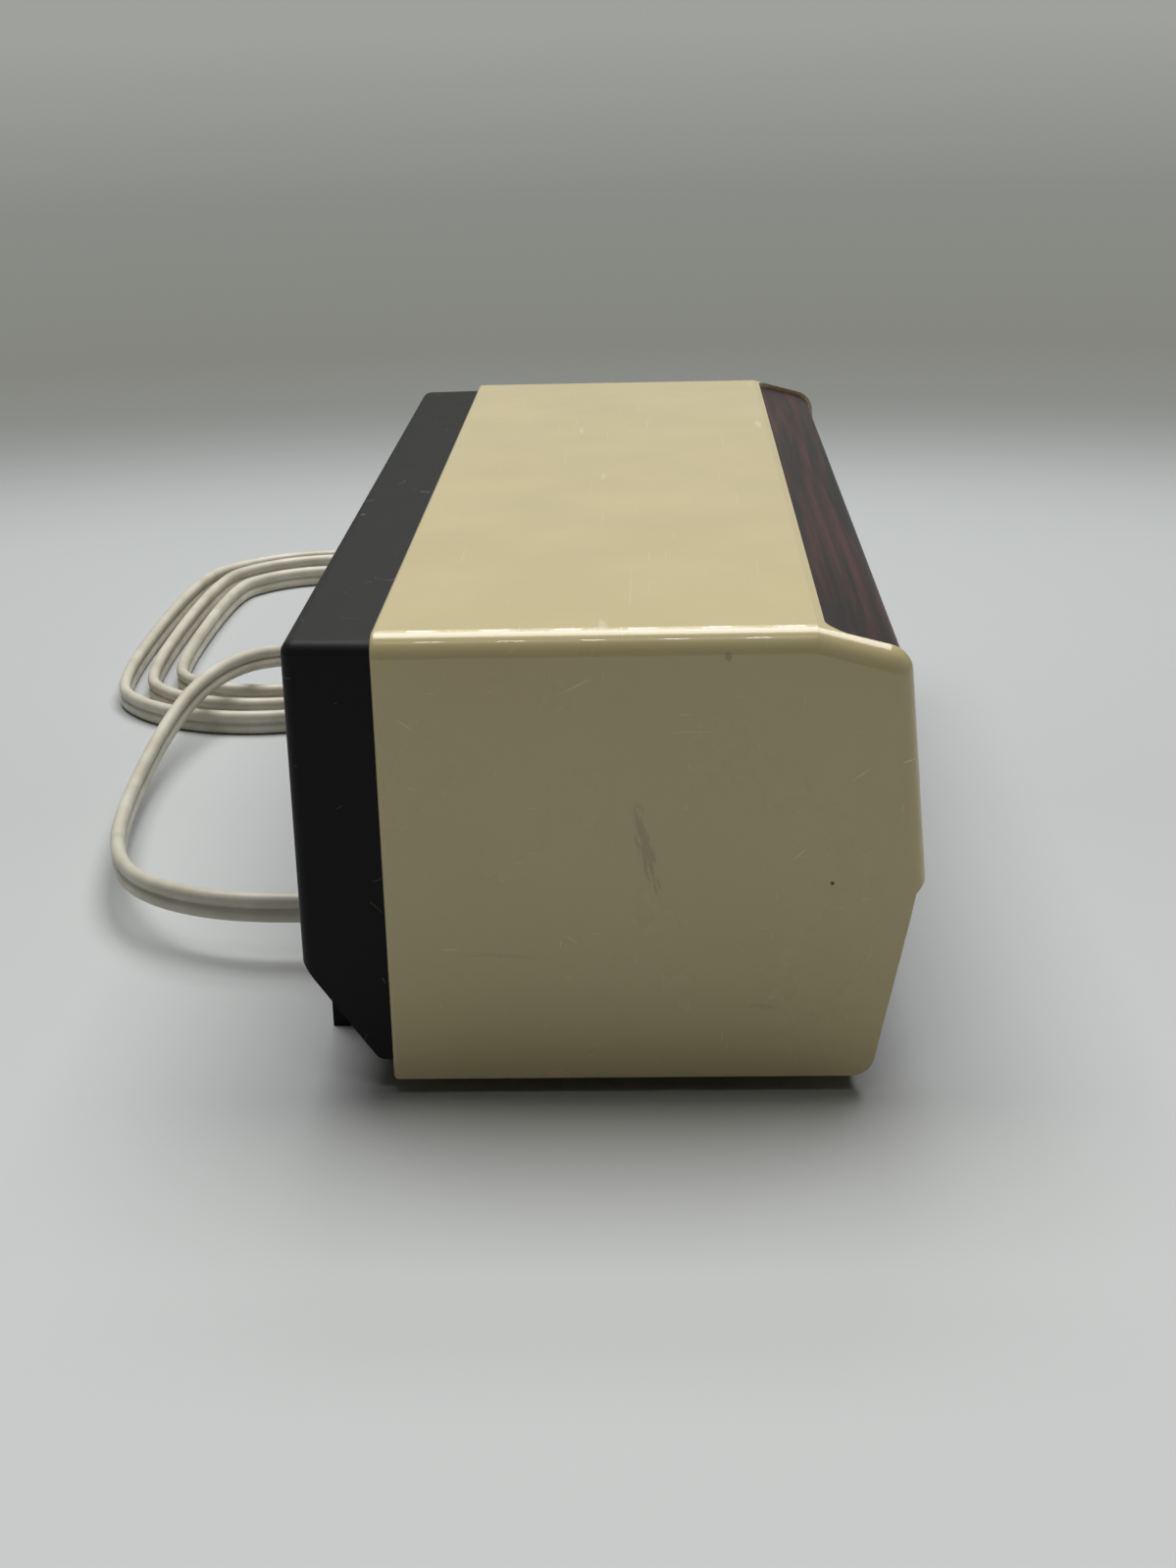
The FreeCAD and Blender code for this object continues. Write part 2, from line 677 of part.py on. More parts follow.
pad_radius = size("pad_radius", 5)
pad_inset = size("pad_inset", 22)
pad_run = size("pad_run", 64)
pads = [rod("pad", "z", (0, z_base), (x, y_seam - pad_run), pad_radius)
        for x in (x_left + pad_inset, x_right - pad_inset)]
keep(grouped("front_feet", pads), "front_feet")

# Mechanism: tray, three plates, tie bars and the fixed shaft that both drums turn on

tray_holes = [rod("tray_hole", "z", (z_tray - 1, z_tray + tray_wall + 1), corner, screw_radius + 0.2)
              for corner in tray_corners]
keep(cut("chassis_tray", block("tray_sheet", (tray_left, tray_right), (tray_front, tray_back),
                               (z_tray, z_tray + tray_wall)), tray_holes), "chassis_tray")
tray_screws = []
for corner in tray_corners:
    tray_screws.append(rod("tray_screw", "z", (z_tray + tray_wall + 0.01, z_tray + tray_wall + 1.6), corner, 2.4))
keep(grouped("tray_screws", tray_screws), "tray_screws")

plate_low = z_tray + tray_wall
plate_high = z_ceiling - 2
plate_front = drum_y - size("plate_fore", 18.2)
plate_back = drum_y + size("plate_aft", 40)
left_plate_x = hour_x - plate_gap - plate_wall
middle_plate_x = hour_x + hour_width + size("middle_gap", 3.2)
right_plate_x = minute_end + gear_wall + plate_gap
tie_inset = size("tie_inset", 4)
tie_drop = size("tie_drop", 3.2)
tie_spots = [(plate_front + tie_inset, plate_low + tie_inset), (plate_back - tie_inset, plate_low + tie_inset),
             (plate_back - tie_drop, plate_high - tie_drop)]
count_angle = size("count_angle", -20)
count_reach = size("count_reach", 20)
count_y = drum_y + count_reach * cos(count_angle)
count_z = drum_z + count_reach * sin(count_angle)
count_hub = size("count_hub", 2.2)


def plate(name, x, extra_holes):
    reach = (x, x + plate_wall)
    through = (x - 1, x + plate_wall + 1)
    sheet_metal = block(name + "_sheet", reach, (plate_front, plate_back), (plate_low, plate_high))
    holes = [rod(name + "_shaft_hole", "x", through, (drum_y, drum_z), shaft_radius + shaft_play)]
    holes += [rod(name + "_tie_hole", "x", through, spot, tie_radius + shaft_play) for spot in tie_spots]
    holes += [rod(name + "_hole", "x", through, spot, radius + shaft_play) for spot, radius in extra_holes]
    keep(cut(name, sheet_metal, holes), name)


plate("left_plate", left_plate_x, [])
plate("middle_plate", middle_plate_x, [((count_y, count_z), count_hub)])
plate("right_plate", right_plate_x, [((time_y, time_z), spindle_radius), ((motor_y, motor_z), sized(3))])
chassis_reach = (left_plate_x - 1.5, right_plate_x + plate_wall + 1.5)
keep(grouped("tie_bars", [rod("tie_bar", "x", chassis_reach, spot, tie_radius) for spot in tie_spots]), "tie_bars")
keep(rod("drum_shaft", "x", chassis_reach, (drum_y, drum_z), shaft_radius), "drum_shaft")

# Drums: a hub with two flanges, a fan of leaves, and the two leaves that show the number


def leaf_fan(reach, count, bare):
    """The waiting and the fallen leaves: those at the back stand out from the hub, and those
    at the front stand or hang upright. The angle runs from the front over the top."""
    root = leaf_root.number
    thick = leaf_thick.number
    width = float(reach[1]) - float(reach[0])
    leaves = []
    for step in range(count):
        angle = 360 * step / count
        signed = angle - 360 if angle > 180 else angle
        if abs(signed) < bare:
            continue
        lean = math.copysign(max(abs(signed), 90), signed)
        leaf = Part.makeBox(width, thick, leaf_height.number, Vector(0, -thick / 2, 0))
        leaf.rotate(Vector(0, 0, 0), X_AXIS, 90 - lean)
        spot = math.radians(signed)
        leaf.translate(Vector(float(reach[0]), float(drum_y) - root * math.cos(spot),
                              float(drum_z) + root * math.sin(spot)))
        leaves.append(leaf)
    return Part.makeCompound(leaves)


def modelled(name, shape):
    thing = doc.addObject("Part::Feature", name)
    thing.Shape = shape
    keep(thing, name)
    return thing


pivot_y = drum_y - leaf_root - leaf_step
flange_radius = leaf_root + 2
pin_radius = size("pin_radius", 0.5)


def drum(word, x0, width, count, bare):
    x1 = x0 + width
    between = (x0 + hub_disc, x1 - hub_disc)
    leaf_span = (between[0] + leaf_play, between[1] - leaf_play)
    core = rod(word + "_core", "x", (x0, x1), (drum_y, drum_z), hub_core)
    flanges = [rod(word + "_flange", "x", pair, (drum_y, drum_z), flange_radius)
               for pair in ((x0, x0 + hub_disc), (x1 - hub_disc, x1))]
    bore = rod(word + "_bore", "x", (x0 - 1, x1 + 1), (drum_y, drum_z), shaft_radius + shaft_play)
    pivots = [rod(word + "_pivot", "x", pair, (pivot_y, drum_z), pin_radius + shaft_play)
              for pair in ((x0 - 1, between[0] + 1), (between[1] - 1, x1 + 1))]
    keep(cut(word + "_drum_hub", joined(word + "_blank", [core, *flanges]), [bore, *pivots]), word + "_drum_hub")
    modelled(word + "_leaves", leaf_fan(leaf_span, count, bare))
    show = (pivot_y - leaf_thick / 2, pivot_y + leaf_thick / 2)
    behind = (show[0] + leaf_step, show[1] + leaf_step)
    upper = block(word + "_upper_sheet", leaf_span, show, (drum_z, drum_z + leaf_height))
    pin = rod(word + "_leaf_pin", "x", (x0 + 0.3, x1 - 0.3), (pivot_y, drum_z), pin_radius)
    keep(joined(word + "_upper_leaf", [upper, pin]), word + "_upper_leaf")
    keep(block(word + "_lower_leaf", leaf_span, behind, (drum_z - leaf_height, drum_z - 0.7)),
         word + "_lower_leaf")
    return x1


hour_end = drum("hour", hour_x, hour_width, 24, 20)
drum("minute", minute_x, minute_width, 60, 22)

# Gears with involute flanks; teeth mesh at rest, one tooth on the line between the centres

PRESSURE = math.radians(20)
BACKLASH = 0.14


def involute(angle):
    return math.tan(angle) - angle


def tooth_half(teeth, module, radius):
    """Half of a tooth's angle at a radius."""
    base = module * teeth / 2 * math.cos(PRESSURE)
    bent = math.acos(min(1.0, base / radius))
    at_pitch = math.pi / (2 * teeth) * (1 - BACKLASH)
    return at_pitch + involute(PRESSURE) - involute(bent)


def gear_shape(teeth, module, x, y, z, phase, bore):
    """A spur gear: teeth as flat flanks through root, pitch and tip, turned to its phase in degrees."""
    radii = [module * (teeth / 2 - 1.15), module * teeth / 2, module * (teeth / 2 + 0.9)]
    halves = [tooth_half(teeth, module, r) for r in radii]
    points = []
    for tooth in range(teeth):
        middle = math.radians(phase) + 2 * math.pi * tooth / teeth
        flank = [(r, middle - half) for r, half in zip(radii, halves)]
        flank += [(r, middle + half) for r, half in zip(reversed(radii), reversed(halves))]
        points += [Vector(float(x[0]), float(y) + r * math.cos(a), float(z) + r * math.sin(a)) for r, a in flank]
    face = Part.Face(Part.makePolygon(points + points[:1]))
    wheel = face.extrude(Vector(float(x[1]) - float(x[0]), 0, 0))
    if bore:
        hole = Part.makeCylinder(bore, 20, Vector(float(x[0]) - 5, float(y), float(z)), X_AXIS)
        wheel = wheel.cut(hole)
    return wheel


def mesh_phase(phase, teeth, line, other_teeth):
    """The phase of a gear that meshes with one of a known phase, along a line between centres."""
    ahead = (phase - line) % (360 / teeth)
    return line + 180 - ahead * teeth / other_teeth + 180 / other_teeth


module = gear_module.number
wheel_x = (minute_end, minute_end + gear_wall)
wheel_phase = time_angle.number
modelled("minute_wheel", gear_shape(wheel_teeth, module, wheel_x, drum_y, drum_z, wheel_phase,
                                    shaft_radius.number + shaft_play.number))
time_phase = mesh_phase(wheel_phase, wheel_teeth, time_angle.number, knob_teeth)
modelled("time_gear", gear_shape(knob_teeth, module, wheel_x, time_y, time_z, time_phase, spindle_radius.number))
motor_phase = mesh_phase(wheel_phase, wheel_teeth, motor_angle.number, pinion_teeth)
pinion = gear_shape(pinion_teeth, module, wheel_x, motor_y, motor_z, motor_phase, 0)
output_radius = size("output_radius", 1.2)
output_reach = size("output_reach", 4)
output = Part.makeCylinder(output_radius.number, float(right_plate_x + plate_wall + output_reach - minute_end),
                           Vector(minute_end.number, motor_y.number, motor_z.number), X_AXIS)
modelled("motor_pinion", pinion.fuse(output))

# Transfer train: a pinion on the minute drum, a stepped wheel through the middle plate, a wheel on the hour drum
first_teeth, second_teeth, third_teeth, fourth_teeth = 12, 48, 10, 60
first_module = 2 * count_reach.number / (first_teeth + second_teeth)
last_module = 2 * count_reach.number / (third_teeth + fourth_teeth)
first_x = (minute_x - gear_wall - 0.4, minute_x)
second_x = (minute_x - gear_wall - 0.3, minute_x - 0.4)
third_x = (hour_end, hour_end + gear_wall + 0.4)
fourth_x = (hour_end, hour_end + gear_wall)
bore = shaft_radius.number + shaft_play.number
modelled("minute_transfer_pinion", gear_shape(first_teeth, first_module, first_x, drum_y, drum_z,
                                              count_angle.number, bore))
second_phase = mesh_phase(count_angle.number, first_teeth, count_angle.number, second_teeth)
stepped_big = gear_shape(second_teeth, first_module, second_x, count_y, count_z, second_phase, 0)
back_line = count_angle.number + 180
stepped_small = gear_shape(third_teeth, last_module, (third_x[0] + 0.3, third_x[1]), count_y, count_z, back_line, 0)
hub_start = third_x[1].number - 0.01
hub_length = second_x[0].number - hub_start + 0.01
stepped_hub = Part.makeCylinder(count_hub.number, hub_length,
                                Vector(hub_start, count_y.number, count_z.number), X_AXIS)
modelled("transfer_wheel", stepped_big.fuse([stepped_hub, stepped_small]))
fourth_phase = mesh_phase(back_line, third_teeth, back_line, fourth_teeth)
modelled("hour_wheel", gear_shape(fourth_teeth, last_module, fourth_x, drum_y, drum_z, fourth_phase, bore))

# Motor behind the right plate
motor_x = right_plate_x + plate_wall
motor_can = rod("motor_can", "x", (motor_x, motor_x + motor_length), (motor_y, motor_z), motor_radius)
motor_bore = rod("motor_bore", "x", (motor_x - 1, motor_x + output_reach + 2), (motor_y, motor_z),
                 output_radius + shaft_play)
keep(cut("motor", motor_can, [motor_bore]), "motor")

# Knobs and spindles
knob_x = x_right + 0.5
knob_end = x_right + knob_stand
flute_count = 20


def knob(name, y, z):
    blank = rod(name + "_blank", "x", (knob_x, knob_end), (y, z), knob_radius)
    flutes = []
    for n in range(flute_count):
        turn = math.radians(360 * n / flute_count)
        spot = (y + (knob_radius + 0.5) * math.cos(turn), z + (knob_radius + 0.5) * math.sin(turn))
        flutes.append(rod(name + "_flute", "x", (knob_x - 1, knob_end + 1), spot, sized(0.9)))
    keep(cut(name, blank, flutes), name)


def spindle(name, x0, y, z):
    keep(rod(name, "x", (x0, knob_x), (y, z), spindle_radius), name)


knob("time_knob", time_y, time_z)
spindle("time_spindle", minute_end - 2, time_y, time_z)
knob("alarm_knob", alarm_y, alarm_z)
alarm_radius = size("alarm_radius", 14)
dial_x = (alarm_x, alarm_x + alarm_width)
dial = rod("dial_blank", "x", dial_x, (alarm_y, alarm_z), alarm_radius)
dial_bore = rod("dial_bore", "x", (alarm_x - 1, alarm_x + alarm_width + 1), (alarm_y, alarm_z), spindle_radius)
keep(cut("alarm_dial", dial, [dial_bore]), "alarm_dial")
spindle("alarm_spindle", alarm_x - 7, alarm_y, alarm_z)
bracket_x = alarm_x - 4
bracket_sheet = block("bracket_sheet", (bracket_x, bracket_x + plate_wall), (alarm_y - 6, alarm_y + 8),
                      (plate_low, alarm_z + 6))
bracket_hole = rod("bracket_hole", "x", (bracket_x - 1, bracket_x + plate_wall + 1), (alarm_y, alarm_z),
                   spindle_radius + shaft_play)
keep(cut("alarm_bracket", bracket_sheet, [bracket_hole]), "alarm_bracket")

# Lamps that light the leaves, on a strip across the front of the plates
strip_bar_back = plate_front - panel_gap
lamp_strip_reach = (left_plate_x, right_plate_x + plate_wall)
keep(block("lamp_strip", lamp_strip_reach, (strip_bar_back - 1.6, strip_bar_back),
           (plate_high - 4.2, plate_high - 0.6)), "lamp_strip")
lamp_radius = size("lamp_radius", 2.2)
lamp_y = strip_bar_back - 2.6
lamp_z = plate_high - 4.4 - lamp_radius
lamps = [rod("lamp", "x", (x - 6, x + 6), (lamp_y, lamp_z), lamp_radius)
         for x in (hour_x + hour_width / 2, minute_x + minute_width / 2)]
keep(grouped("lamps", lamps), "lamps")

# Buzzer on the tray, and the terminal block where the mains lead ends
buzzer_radius = size("buzzer_radius", 7)
buzzer_height = size("buzzer_height", 14)
reed_length = size("reed_length", 18)
reed_wall = size("reed_wall", 0.8)
buzzer_x = right_plate_x + size("buzzer_offset", 26)
buzzer_y = tray_back - size("buzzer_inset", 12.4)
buzzer_top = plate_low + buzzer_height
keep(rod("buzzer_coil", "z", (plate_low, buzzer_top), (buzzer_x, buzzer_y), buzzer_radius), "buzzer_coil")
keep(block("buzzer_reed", (buzzer_x - buzzer_radius, buzzer_x + buzzer_radius),
           (buzzer_y - reed_length / 2, buzzer_y + reed_length / 2),
           (buzzer_top + panel_gap, buzzer_top + panel_gap + reed_wall)), "buzzer_reed")
terminal_length = size("terminal_length", 20)
terminal_width = size("terminal_width", 14)
terminal_height = size("terminal_height", 12)
terminal_x = x_left + size("terminal_inset", 14)
terminal_y = y_seam - size("terminal_back", 40)
keep(block("terminal_block", (terminal_x, terminal_x + terminal_length), (terminal_y, terminal_y + terminal_width),
           (z_floor + 0.01, z_floor + terminal_height)), "terminal_block")

# Mains lead: bush, free stretch, coil and plug. The flat lead is a round tube as wide as the lead.
lead = size("lead_diameter", 5.6)
bush_stand = size("bush_stand", 7)
bush_length = size("bush_length", 20.4)
bush_grip = size("bush_grip", 6)
bush_play = size("bush_play", 0.05)
bush_end = y_back + bush_stand
bush_start = bush_end - bush_length
bush_body = doc.addObject("Part::Cone", "bush_cone")
bind(bush_body, "Radius1", bush_radius - bush_play)
bind(bush_body, "Radius2", lead / 2 + 0.3)
bind(bush_body, "Height", bush_length - bush_grip)
place(bush_body, cord_x, bush_start + bush_grip, cord_z, TURNS["y"])
bush_plug = rod("bush_plug", "y", (bush_start, bush_start + bush_grip), (cord_x, cord_z), bush_radius - bush_play)
keep(joined("cord_bush", [bush_body, bush_plug]), "cord_bush")

rest = lead.number / 2
coil_middle = (148.0, 88.0)
coil_start = (147.0, 64.6)
lead_points = [
    (cord_x.number, bush_end.number, cord_z.number),
    (cord_x.number, 64, cord_z.number),
    (-59.6, 74.5, 10.4),
    (-53, 84.5, 9.8),
    (-42.5, 92.5, 8.8),
    (-27, 98, 7.6),
    (-6, 101.8, 6.2),
    (20, 104.2, 5.6),
    (48, 103.8, 8.2),
    (68, 100.2, 11.6),
    (86, 93.6, 12.2),
    (100.8, 85.4, 9.4),
    (111.2, 77.4, 6.0),
    (120.3, 71.2, 3.9),
    (129.5, 66.9, 2.9),
    (139.5, coil_start[1], rest),
    (coil_start[0], coil_start[1], rest),
]


def lead_path(points):
    """Straight runs joined by tangent arcs, each as large as its two runs allow."""
    spots = [Vector(*p) for p in points]
    edges = []
    radii = []
    last = spots[0]
    for before, corner, after in zip(spots, spots[1:], spots[2:]):
        inward = (corner - before).normalize()
        outward = (after - corner).normalize()
        turn = inward.getAngle(outward)
        reach = 0.45 * min((corner - before).Length, (after - corner).Length)
        radii.append(reach / math.tan(turn / 2))
        start = corner - inward * reach
        end = corner + outward * reach
        bisector = (outward - inward).normalize()
        rise = radii[-1] / math.cos(turn / 2) - radii[-1]
        edges.append(Part.LineSegment(last, start).toShape())
        edges.append(Part.Arc(start, corner + bisector * rise, end).toShape())
        last = end
    edges.append(Part.LineSegment(last, spots[-1]).toShape())
    return Part.Wire(edges), radii


def tube(path, start, along):
    ring = Part.Wire([Part.makeCircle(lead.number / 2, start, along)])
    return path.makePipeShell([ring], True, False)


route, radii = lead_path(lead_points)
print("lead arc radii", [round(r, 1) for r in radii])
free = tube(route, Vector(*lead_points[0]), Y_AXIS)
ideal = math.pi * lead.number ** 2 / 4 * route.Length
print("free lead", round(route.Length, 1), "mm, volume over ideal", round(free.Volume / ideal, 4))
modelled("lead_free", free)

coil_turns = 3
coil_width = 63.5
coil_depth = 23.4
coil_growth = 6.3
coil_flat = 1


sway_radius = 30
sway_angle = 35


def sway_way(angle):
    return Vector(math.cos(math.radians(angle)), math.sin(math.radians(angle)), 0)


def coil_path():
    """Loose oval turns, each quarter a small arc at the long end and a large one at the flat side."""
    centre = Vector(coil_middle[0], coil_middle[1], rest)
    u, v = Vector(0, -1, 0), Vector(1, 0, 0)
    edges = [Part.LineSegment(Vector(coil_start[0], coil_start[1], rest), centre + u * coil_depth).toShape()]
    for quarter in range(4 * coil_turns):
        grown = coil_growth * quarter / 4
        grown_next = coil_growth * (quarter + 1) / 4
        from_side = quarter % 2 == 0
        p = (coil_depth if from_side else coil_width) + grown
        q = (coil_width if from_side else coil_depth) + grown_next
        short, long = min(p, q), max(p, q)
        tight = short - coil_flat
        wide = (p * p + q * q - 2 * long * tight) / (2 * (short - tight))
        if p > q:
            first_centre, first, second_centre, second = u * (p - tight), tight, v * (q - wide), wide
        else:
            first_centre, first, second_centre, second = u * (p - wide), wide, v * (q - tight), tight
        line = (first_centre - second_centre).normalize()
        if second < first:
            line = line * -1
        joint = first_centre + line * first
        first_mid = first_centre + (u + line).normalize() * first
        second_mid = second_centre + (line + v).normalize() * second
        edges.append(Part.Arc(centre + u * p, centre + first_mid, centre + joint).toShape())
        edges.append(Part.Arc(centre + joint, centre + second_mid, centre + v * q).toShape())
        u, v = v, u * -1
    end = centre + u * (coil_depth + coil_growth * coil_turns)
    # the end sways out from the turns, clear of them by more than half the plug
    right_centre = end + u * sway_radius
    left_centre = right_centre + sway_way(90 - sway_angle) * (2 * sway_radius)
    crossing = right_centre + sway_way(90 - sway_angle) * sway_radius
    swayed = left_centre + u * sway_radius
    tail = swayed + v * lead.number
    edges.append(Part.Arc(end, right_centre + sway_way(90 - sway_angle / 2) * sway_radius, crossing).toShape())
    edges.append(Part.Arc(crossing, left_centre - sway_way(90 - sway_angle / 2) * sway_radius, swayed).toShape())
    edges.append(Part.LineSegment(swayed, tail).toShape())
    return Part.Wire(edges), tail


winding, coil_end = coil_path()
coil = tube(winding, Vector(coil_start[0], coil_start[1], rest), X_AXIS)
print("coil", round(winding.Length, 1), "mm, volume over ideal",
      round(coil.Volume / (math.pi * lead.number ** 2 / 4 * winding.Length), 4))
modelled("lead_coil", coil)
samples = winding.discretize(Distance=2.0)
least = min((a - b).Length for i, a in enumerate(samples) for b in samples[i + 12:])
print("least gap of the coil to itself", round(least - lead.number, 2))

plug_length = size("plug_length", 30)
plug_width = size("plug_width", 24)
plug_height = size("plug_height", 14)
plug_x = sized(coil_end.x)
plug_y = sized(coil_end.y)
plug_z = sized(plug_height / 2)
plug_body = prism("plug_body", "z", (0, plug_height), [
    (plug_x, plug_y - 4), (plug_x + 10, plug_y - 7), (plug_x + 14, plug_y - plug_width / 2),
    (plug_x + plug_length, plug_y - plug_width / 2), (plug_x + plug_length, plug_y + plug_width / 2),
    (plug_x + 14, plug_y + plug_width / 2), (plug_x + 10, plug_y + 7), (plug_x, plug_y + 4)])
keep(plug_body, "plug_body")
blade_length = size("blade_length", 17)
blade_wall = size("blade_wall", 1.5)
blade_height = size("blade_height", 6.4)
blade_pitch = size("blade_pitch", 12.7)
blade_x = plug_x + plug_length
blades = []
for blade_y in (plug_y - (blade_pitch + blade_wall) / 2, plug_y + (blade_pitch - blade_wall) / 2):
    blades.append(block("blade", (blade_x, blade_x + blade_length), (blade_y, blade_y + blade_wall),
                        (plug_z - blade_height / 2, plug_z + blade_height / 2)))
keep(grouped("plug_blades", blades), "plug_blades")

doc.recompute()
broken = [o.Name for o in doc.Objects if "Invalid" in o.State or "Error" in o.State]
for name in broken:
    print("FAILED", name, doc.getObject(name).getStatusString())
for name, thing in pieces.items():
    box = thing.Shape.BoundBox
    print(name, thing.Shape.isValid(), len(thing.Shape.Solids), round(thing.Shape.Volume),
          [round(v, 1) for v in (box.XMin, box.YMin, box.ZMin, box.XMax, box.YMax, box.ZMax)])
assert not broken
os.makedirs("parts", exist_ok=True)
for name, thing in pieces.items():
    thing.Shape.exportStep(f"parts/{name}.step")
print(len(pieces), "pieces")
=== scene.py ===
import json
import math

import bmesh
import bpy
from mathutils import Matrix, Vector


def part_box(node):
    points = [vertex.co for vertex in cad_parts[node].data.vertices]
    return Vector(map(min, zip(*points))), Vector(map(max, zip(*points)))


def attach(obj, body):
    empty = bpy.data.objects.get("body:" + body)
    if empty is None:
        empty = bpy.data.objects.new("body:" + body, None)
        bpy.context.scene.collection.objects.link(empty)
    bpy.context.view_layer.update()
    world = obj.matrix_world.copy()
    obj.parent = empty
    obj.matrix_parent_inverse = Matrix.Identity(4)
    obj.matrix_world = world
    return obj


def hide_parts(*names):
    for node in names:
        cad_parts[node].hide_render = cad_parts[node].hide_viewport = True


# A mains alarm clock with flip numbers, seen from its left end and a little above.

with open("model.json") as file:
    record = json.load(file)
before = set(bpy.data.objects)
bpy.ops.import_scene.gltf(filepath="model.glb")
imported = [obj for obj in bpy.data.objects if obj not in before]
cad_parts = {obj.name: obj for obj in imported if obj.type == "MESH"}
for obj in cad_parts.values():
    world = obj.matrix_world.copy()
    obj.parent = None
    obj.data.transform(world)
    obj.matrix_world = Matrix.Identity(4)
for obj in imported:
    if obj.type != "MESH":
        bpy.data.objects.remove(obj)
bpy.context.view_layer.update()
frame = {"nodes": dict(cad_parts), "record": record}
nodes = frame["nodes"]
MM = 0.001


def mm(*numbers):
    """A point given in millimetres, in metres."""
    return Vector([n * MM for n in numbers])


# Camera

eye = mm(-414.9, -8.1, 161.4)
looking = Matrix((
    (0.02782, 0.34187, -0.93934),
    (-0.99935, -0.01219, -0.03403),
    (-0.02309, 0.93967, 0.34130)))
bpy.ops.object.camera_add(location=eye, rotation=looking.to_euler())
camera = bpy.context.object
camera.name = "camera"
film, focal_in_pixels, photo_height = 36, 2205, 1599
camera.data.sensor_width = film
camera.data.lens = film * focal_in_pixels / photo_height
camera.data.clip_start = 0.01
bpy.context.scene.camera = camera


# Shared ways of modelling

def alone(thing):
    """Select one object and nothing else."""
    if bpy.context.mode != "OBJECT":
        bpy.ops.object.mode_set(mode="OBJECT")
    bpy.ops.object.select_all(action="DESELECT")
    bpy.context.view_layer.objects.active = thing
    thing.select_set(True)
    return thing


def settled(name):
    """Name the object that was just added, and put its place and size into its mesh."""
    thing = alone(bpy.context.object)
    thing.name = name
    thing.data.name = name
    bpy.ops.object.transform_apply(location=True, rotation=True, scale=True)
    return thing


def opened(thing):
    """Go into edit mode with all of a piece selected."""
    alone(thing)
    bpy.ops.object.mode_set(mode="EDIT")
    bpy.ops.mesh.select_all(action="SELECT")
    return thing


def slab(name, low, high):
    """A block between two corners, to be shaped further."""
    low, high = Vector(low), Vector(high)
    bpy.ops.object.select_all(action="DESELECT")
    bpy.ops.mesh.primitive_cube_add(size=1, location=(low + high) / 2, scale=high - low)
    return settled(name)


def turned(name, start, along, profile, sides=48):
    """A round piece drawn out of a disc in steps of (distance, radius), as on a lathe."""
    bpy.ops.object.select_all(action="DESELECT")
    start, along = Vector(start), Vector(along)
    first, radius = profile[0]
    bpy.ops.mesh.primitive_circle_add(
        vertices=sides, radius=radius * MM, fill_type="NGON", location=start + along * first * MM,
        rotation=along.to_track_quat("Z", "Y").to_euler())
    thing = opened(settled(name))
    for (before, old), (after, new) in zip(profile, profile[1:]):
        bpy.ops.mesh.extrude_region_move(TRANSFORM_OT_translate={"value": along * (after - before) * MM})
        if new != old:
            scale = [1.0 if a else new / old for a in along]
            bpy.ops.transform.resize(value=scale, center_override=start + along * after * MM)
    return done(thing)


def refined(node, width):
    """A copy of a CAD node with its points merged and its edges rounded, to stand in its place."""
    source = nodes[node]
    thing = bpy.data.objects.new("finished_" + node, source.data.copy())
    bpy.context.scene.collection.objects.link(thing)
    alone(thing)
    bpy.ops.mesh.customdata_custom_splitnormals_clear()
    opened(thing)
    bpy.ops.mesh.remove_doubles(threshold=0.02 * MM)
    bpy.ops.mesh.dissolve_limited(angle_limit=math.radians(2))
    return softened(done(thing), width)


def pick(thing, wanted):
    """In edit mode, select the faces that a test finds."""
    alone(thing)
    bpy.ops.object.mode_set(mode="EDIT")
    bpy.ops.mesh.select_mode(type="FACE")
    bpy.ops.mesh.select_all(action="DESELECT")
    mesh = bmesh.from_edit_mesh(thing.data)
    mesh.normal_update()
    for face in mesh.faces:
        if wanted(face):
            face.select_set(True)
    mesh.select_flush_mode()
    bmesh.update_edit_mesh(thing.data)


def done(thing):
    """Leave edit mode with the faces turned outwards."""
    bpy.ops.mesh.select_all(action="SELECT")
    bpy.ops.mesh.normals_make_consistent(inside=False)
    bpy.ops.object.mode_set(mode="OBJECT")
    return thing


def modified(thing, kind, **settings):
    """Add a modifier with its settings and apply it."""
    alone(thing)
    modifier = thing.modifiers.new(kind.lower(), kind)
    for name, value in settings.items():
        setattr(modifier, name, value)
    bpy.ops.object.modifier_apply(modifier=modifier.name)
    return thing


def softened(thing, width, segments=3):
    """Round the sharp edges, and shade the piece smooth but for what stays sharp."""
    modified(thing, "BEVEL", width=width * MM, segments=segments, limit_method="ANGLE",
             angle_limit=math.radians(30), harden_normals=False)
    bpy.ops.object.shade_smooth_by_angle(angle=math.radians(40))
    return thing


def stand_in(thing, body, slot, material, *replaced):
    """Let a finished piece ride on its body, in its finish, in place of CAD nodes."""
    thing.data.materials.clear()
    thing.data.materials.append(material)
    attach(thing, body)
    if replaced:
        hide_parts(*replaced)
    return thing


# Shared ways of making materials

def hue(code):
    """An sRGB hex colour as the linear colour that a shader takes."""
    parts = [int(code[i:i + 2], 16) / 255 for i in (1, 3, 5)]
    return [c / 12.92 if c <= 0.04045 else ((c + 0.055) / 1.055) ** 2.4 for c in parts] + [1.0]


